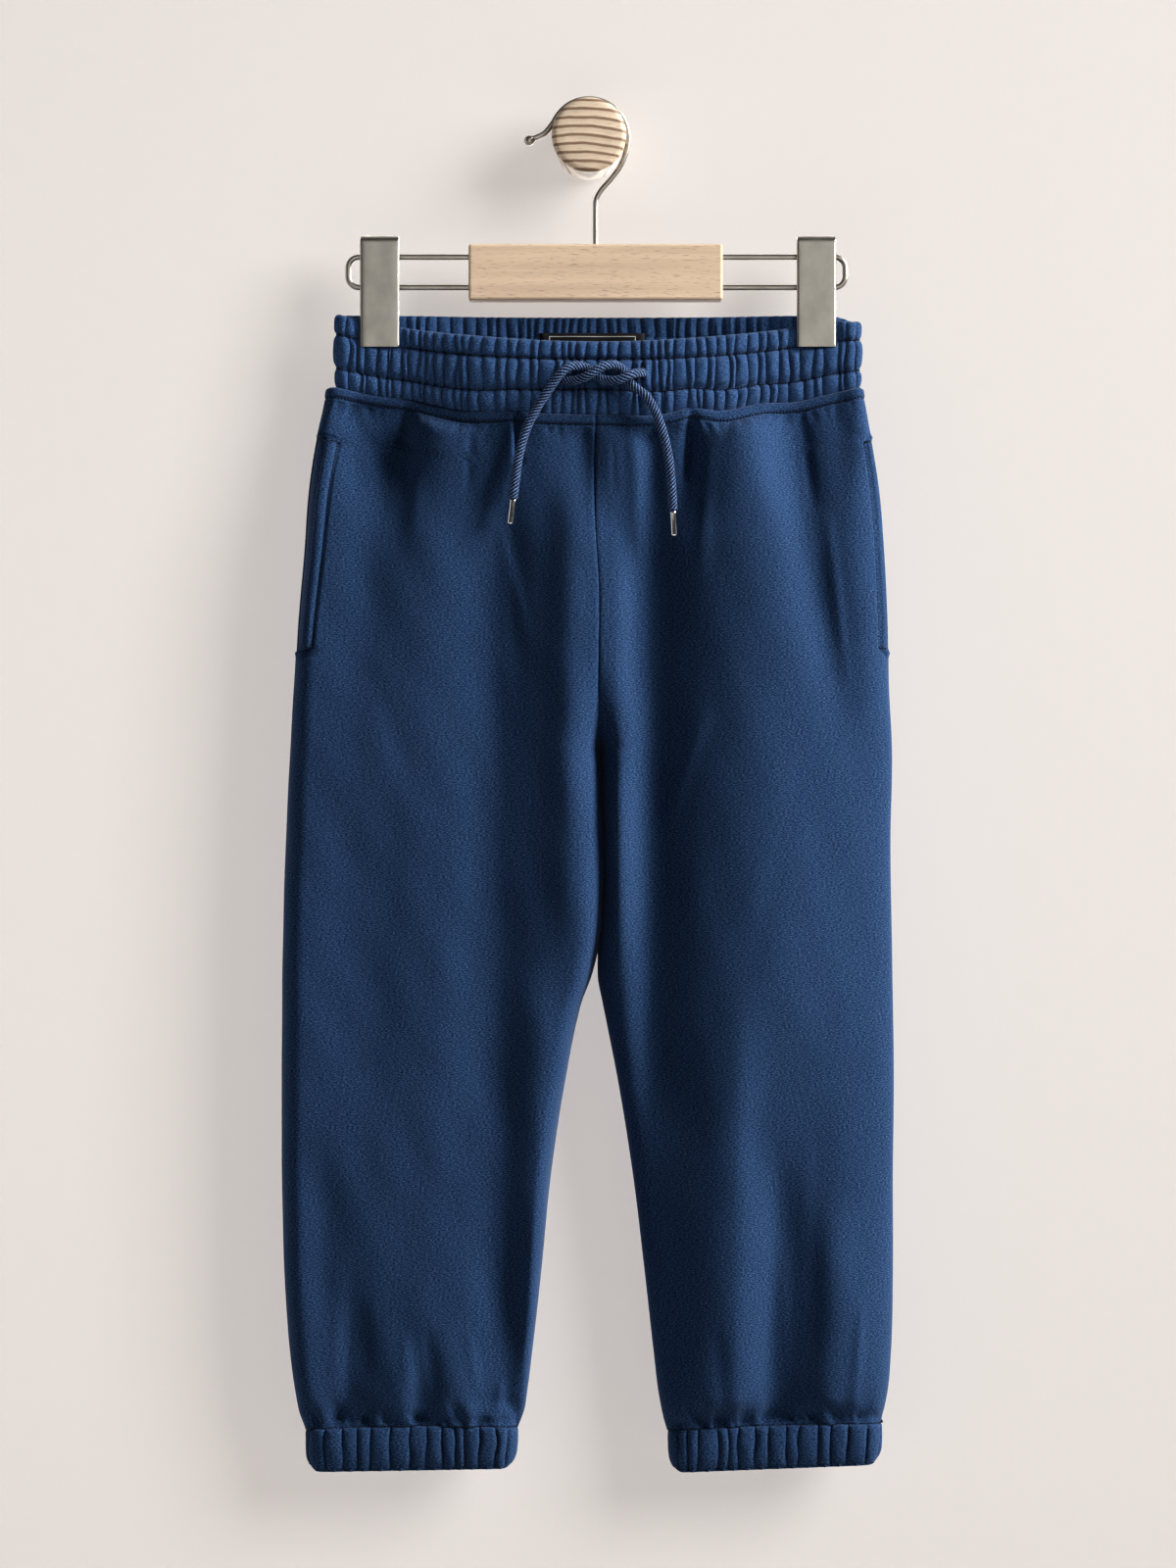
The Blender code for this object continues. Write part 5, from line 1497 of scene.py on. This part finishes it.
class JOGGERS_OT_label(bpy.types.Operator):
    """Bare tape inside the back of the waistband"""
    bl_idname = "joggers.label"
    bl_label = "Label"

    def execute(self, context):
        x = np.linspace(LABEL_LEFT, LABEL_RIGHT, 24)
        z = np.linspace(LABEL_EDGES[0], LABEL_EDGES[1], 12)
        y = HANG_Y + half_depth_at_band(x, 1.0) - BAND_GATHER.wall - LABEL_PROUD
        wave = 0.35 * np.sin(x / 4.0)[None, :] * np.cos((z - z[0]) / 9.0)[:, None]
        points = np.stack(np.broadcast_arrays(x[None, :], y[None, :] + wave, z[:, None]), axis=-1)
        uv = np.stack(np.broadcast_arrays((x - x[0])[None, :], (z[0] - z)[:, None]), axis=-1)
        mesh = grid_mesh("tape_label", points, uv, merge=False, flip=True)
        add_cloth("tape_label", "label", mesh, label_material(), TAPE * MM)
        return {"FINISHED"}


class JOGGERS_OT_rails(bpy.types.Operator):
    """Rail wires and the hook"""
    bl_idname = "joggers.rails"
    bl_label = "Rails and hook"

    def execute(self, context):
        nickel = nickel_material()
        for side, end_x, block_end in (("left", RAIL_LEFT, HANGER_X - BLOCK[0] / 2),
                                       ("right", RAIL_RIGHT, HANGER_X + BLOCK[0] / 2)):
            way = 1 if end_x > block_end else -1
            start = block_end - way * (BORE_DEPTH - 1.0)
            turn_x = end_x - way * RAIL_CORNER
            line = [(start, WIRE_Y, ROD_TOP)]
            for centre, begin in ((ROD_TOP - RAIL_CORNER, 90), (ROD_BOTTOM + RAIL_CORNER, 0)):
                for angle in np.radians(np.linspace(begin, begin - 90, 13)):
                    line.append((turn_x + way * RAIL_CORNER * math.cos(angle), WIRE_Y,
                                 centre + RAIL_CORNER * math.sin(angle)))
            line.append((start, WIRE_Y, ROD_BOTTOM))
            add_tube("rail_" + side, "wire_" + side, resample(np.array(line), 1.0), WIRE / 2, 24,
                     nickel)
        wire = curve_through([(x, WIRE_Y, z) for x, z in HOOK_ROUTE], 1.2)
        way = (wire[-1] - wire[-2]) / np.linalg.norm(wire[-1] - wire[-2])
        centre = wire[-1] + way * HOOK_BALL
        ball = np.array([centre + way * HOOK_BALL * t for t in BALL_STEPS])
        wide = [HOOK_WIRE / 2] * len(wire)
        wide += [HOOK_BALL * math.sqrt(1 - t * t) for t in BALL_STEPS]
        add_tube("wire_hook", "hook", np.vstack((wire, ball)), wide, 28, nickel)
        return {"FINISHED"}


class JOGGERS_OT_clips(bpy.types.Operator):
    """Sheet-metal clips folded over the rails"""
    bl_idname = "joggers.clips"
    bl_label = "Clips"

    def execute(self, context):
        nickel = nickel_material()
        reach = JAW + SHEET / 2
        top = CLIP_TOP - SHEET / 2
        bend = [(1 - math.cos(a), 1 - math.sin(a)) for a in np.linspace(0, math.pi / 2, 8)]
        over = [(HANG_Y - reach + CLIP_BEND * y, top - CLIP_BEND * z) for y, z in bend]
        under = [(HANG_Y + reach - CLIP_BEND * y, top - CLIP_BEND * z) for y, z in reversed(bend)]
        profile = np.array([(HANG_Y - reach, CLIP_FRONT_END)] + over + under
                           + [(HANG_Y + reach, CLIP_BACK_END)])
        profile = resample(profile, CLIP_STEP)
        half = CLIP_WIDTH / 2
        across = np.concatenate((-half + np.array((0.0, 0.1, 0.25, 0.45, 0.8)),
                                 np.linspace(-half + 3, half - 3, 5),
                                 half - np.array((0.8, 0.45, 0.25, 0.1, 0.0))))
        from_edge = half - np.abs(across)
        short = np.maximum(CLIP_LIP - from_edge, 0.0)
        turned = CLIP_LIP - np.sqrt(np.maximum(CLIP_LIP ** 2 - short ** 2, 0.0))
        for side, x in (("left", CLIP_LEFT_X), ("right", CLIP_RIGHT_X)):
            rows = []
            for y, z in profile:
                inward = turned * (1.0 if y < HANG_Y - reach + 0.2 else 0.0)
                rows.append(np.column_stack((x + across, y + inward, np.full_like(across, z))))
            points = np.array(rows)
            uv = grid_uv(points, np.arange(len(points)) * CLIP_STEP)
            mesh = grid_mesh("jaw_" + side, points, uv, merge=False, flip=False)
            piece = add_piece("jaw_" + side, mesh, nickel)
            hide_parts("clip_" + side)
            wall = piece.modifiers.new("sheet", "SOLIDIFY")
            wall.thickness = SHEET * MM
            wall.offset = 0.0
            edge = piece.modifiers.new("edge", "BEVEL")
            edge.width = 0.25 * MM
            edge.segments = 2
            edge.limit_method = "ANGLE"
            edge.angle_limit = math.radians(50)
        return {"FINISHED"}


class JOGGERS_OT_wood(bpy.types.Operator):
    """Hanger block and wall knob"""
    bl_idname = "joggers.wood"
    bl_label = "Block and knob"

    def execute(self, context):
        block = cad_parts["hanger_block"]
        for slot in block.material_slots:
            slot.material = beech_material()
        bm = bmesh.new()
        verts = [bm.verts.new((row.radius * MM, -row.out * MM, 0.0)) for row in KNOB_PROFILE]
        verts.append(bm.verts.new((0.0, 0.0, 0.0)))
        edges = [bm.edges.new(pair) for pair in zip(verts, verts[1:])]
        bmesh.ops.spin(bm, geom=verts + edges, cent=(0, 0, 0), axis=(0, 1, 0),
                       angle=2 * math.pi, steps=96, use_merge=True)
        bmesh.ops.remove_doubles(bm, verts=bm.verts, dist=1e-6)
        bmesh.ops.recalc_face_normals(bm, faces=bm.faces)
        mesh = bpy.data.meshes.new("turned_knob")
        bm.to_mesh(mesh)
        bm.free()
        mesh.shade_smooth()
        mesh.set_sharp_from_angle(angle=math.radians(40))
        piece = add_piece("turned_knob", mesh, knob_material())
        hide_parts("knob")
        return {"FINISHED"}


class JOGGERS_OT_stage(bpy.types.Operator):
    """Wall, floor, lights and camera"""
    bl_idname = "joggers.stage"
    bl_label = "Stage"

    def plain(self, name, colour):
        paint = Paint(name, roughness=0.9)
        paint.shader.inputs["Base Color"].default_value = (*colour, 1.0)
        return paint

    def board(self, name, matrix, size, paint):
        bm = bmesh.new()
        bmesh.ops.create_grid(bm, x_segments=1, y_segments=1, size=size, matrix=matrix)
        mesh = bpy.data.meshes.new(name)
        bm.to_mesh(mesh)
        bm.free()
        obj = bpy.data.objects.new(name, mesh)
        bpy.context.scene.collection.objects.link(obj)
        mesh.materials.append(paint.material)
        return obj

    def lamp(self, name, place, target, size, power, colour=(1.0, 1.0, 1.0), lit=None,
             shading=None):
        """Area light. It lights only the collection lit, and only shading casts its shadows."""
        light = bpy.data.lights.new(name, "AREA")
        light.shape = "RECTANGLE"
        light.size, light.size_y = size
        light.energy = power
        light.color = colour
        obj = bpy.data.objects.new(name, light)
        obj.location = place
        obj.rotation_euler = (Vector(target) - Vector(place)).to_track_quat("-Z", "Y").to_euler()
        bpy.context.scene.collection.objects.link(obj)
        if lit:
            obj.light_linking.receiver_collection = lit
        if shading:
            obj.light_linking.blocker_collection = shading

    def group(self, name, members):
        """Collection of the named objects, for a light that is meant for them alone."""
        collection = bpy.data.collections.new(name)
        bpy.context.scene.collection.children.link(collection)
        for member in members:
            collection.objects.link(bpy.data.objects[member])
        return collection

    def one_sided_paint(self, colour):
        """Paint that is clear from behind, so that the wall never hides the part."""
        paint = self.plain("wall_paint", colour)
        geometry = paint.add("ShaderNodeNewGeometry")
        clear = paint.add("ShaderNodeBsdfTransparent")
        either = paint.add("ShaderNodeMixShader")
        out = paint.tree.nodes["Material Output"]
        paint.link(geometry.outputs["Backfacing"], either.inputs["Fac"])
        paint.link(paint.shader.outputs["BSDF"], either.inputs[1])
        paint.link(clear.outputs["BSDF"], either.inputs[2])
        paint.link(either.outputs["Shader"], out.inputs["Surface"])
        return paint

    def lights(self, stage):
        middle = (0.0, -0.038, -0.36)
        pieces = [obj.name for obj in bpy.context.scene.objects
                  if obj.type == "MESH" and obj.name not in ("wall", "floor")]
        things = self.group("all_but_the_room", pieces)
        boards = self.group("painted_boards", ("wall", "floor"))
        lifted = self.group("lit_from_front",
                            ("jaw_left", "jaw_right", "rail_left", "rail_right", "wire_hook",
                             "turned_knob", "cord_left", "cord_right", "cloth_waistband",
                             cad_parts["hanger_block"].name))
        trim = self.group("lit_from_above", ("cloth_waistband", "waistband_stitches", "cord_left",
                                             "cord_right"))
        self.lamp("window", (2.16, -0.80, 0.85), middle, (0.8, 1.9), stage.key, WARM_WHITE,
                  lit=things)
        self.lamp("wall_wash", (-0.35, -2.6, -0.5), (-0.05, 0.0, -0.65), (2.0, 2.0), stage.wash,
                  (1.0, 0.965, 0.94), lit=boards, shading=boards)
        self.lamp("wall_side", (1.8, -1.7, 0.7), (0.0, 0.0, -0.3), (1.3, 1.3),
                  stage.wash * WALL_SIDE, WARM_WHITE, lit=boards)
        self.lamp("left_bounce", (-1.6, -0.25, -0.35), middle, (0.8, 1.8),
                  stage.key * LEFT_BOUNCE)
        self.lamp("front_card", (0.5, -2.4, 0.3), middle, (2.6, 2.6), stage.key * FRONT_CARD,
                  lit=lifted)
        self.lamp("high_card", (0.6, -1.9, 1.3), middle, (1.6, 1.6), stage.key * HIGH_CARD,
                  lit=trim)
        self.lamp("back_fill", (0.3, 1.6, 0.1), middle, (1.2, 1.6), stage.key * BACK_FILL,
                  lit=things, shading=things)
        world = bpy.data.worlds.new("room")
        world.use_nodes = True
        ground = world.node_tree.nodes["Background"]
        ground.inputs["Color"].default_value = (1.0, 0.98, 0.96, 1.0)
        ground.inputs["Strength"].default_value = stage.fill
        bpy.context.scene.world = world

    def execute(self, context):
        stage = settings().stage
        upright = Matrix.Rotation(math.pi / 2, 4, "X")
        self.board("wall", Matrix.Translation((0.0, 0.0003, 0.0)) @ upright, 3.0,
                   self.one_sided_paint(tuple(stage.wall)))
        self.board("floor", Matrix.Translation((0.0, 0.0, -1.1)), 4.0,
                   self.plain("floor_paint", tuple(stage.floor)))
        self.lights(stage)
        camera = bpy.data.cameras.new("camera")
        camera.lens = LENS
        camera.clip_end = 30.0
        eye = bpy.data.objects.new("camera", camera)
        eye.location = (AIM[0] * MM, (HANG_Y - EYE) * MM, AIM[1] * MM)
        eye.rotation_euler = (math.pi / 2, 0.0, 0.0)
        bpy.context.scene.collection.objects.link(eye)
        bpy.context.scene.camera = eye
        bpy.context.scene.view_settings.view_transform = "Standard"
        bpy.context.scene.view_settings.look = "High Contrast"
        return {"FINISHED"}


class JoggersSettings(bpy.types.PropertyGroup):
    fleece: PointerProperty(type=FleeceSettings)
    cord: PointerProperty(type=CordSettings)
    hanger: PointerProperty(type=HangerSettings)
    stage: PointerProperty(type=StageSettings)


OPERATORS = (
    JOGGERS_OT_drawcords, JOGGERS_OT_panels, JOGGERS_OT_facings, JOGGERS_OT_waistband,
    JOGGERS_OT_cuffs, JOGGERS_OT_label, JOGGERS_OT_rails, JOGGERS_OT_clips,
    JOGGERS_OT_wood, JOGGERS_OT_stage,
)


class JOGGERS_PT_builder(bpy.types.Panel):
    """Buttons that build each group of pieces"""
    bl_idname = "JOGGERS_PT_builder"
    bl_label = "Joggers"
    bl_space_type = "VIEW_3D"
    bl_region_type = "UI"
    bl_category = "Joggers"

    def draw(self, context):
        for group in ("fleece", "cord", "hanger", "stage"):
            box = self.layout.box()
            box.label(text=group.capitalize())
            values = getattr(context.scene.joggers, group)
            for key in values.__annotations__:
                box.prop(values, key)
        for operator in OPERATORS:
            self.layout.operator(operator.bl_idname)


CLASSES = (FleeceSettings, CordSettings, HangerSettings, StageSettings, JoggersSettings,
           *OPERATORS, JOGGERS_PT_builder)


def register():
    for cls in CLASSES:
        bpy.utils.register_class(cls)
    bpy.types.Scene.joggers = PointerProperty(type=JoggersSettings)


def unregister():
    del bpy.types.Scene.joggers
    for cls in reversed(CLASSES):
        bpy.utils.unregister_class(cls)


def main():
    register()
    for operator in OPERATORS:
        group, name = operator.bl_idname.split(".")
        getattr(getattr(bpy.ops, group), name)()


if __name__ == "__main__":
    main()
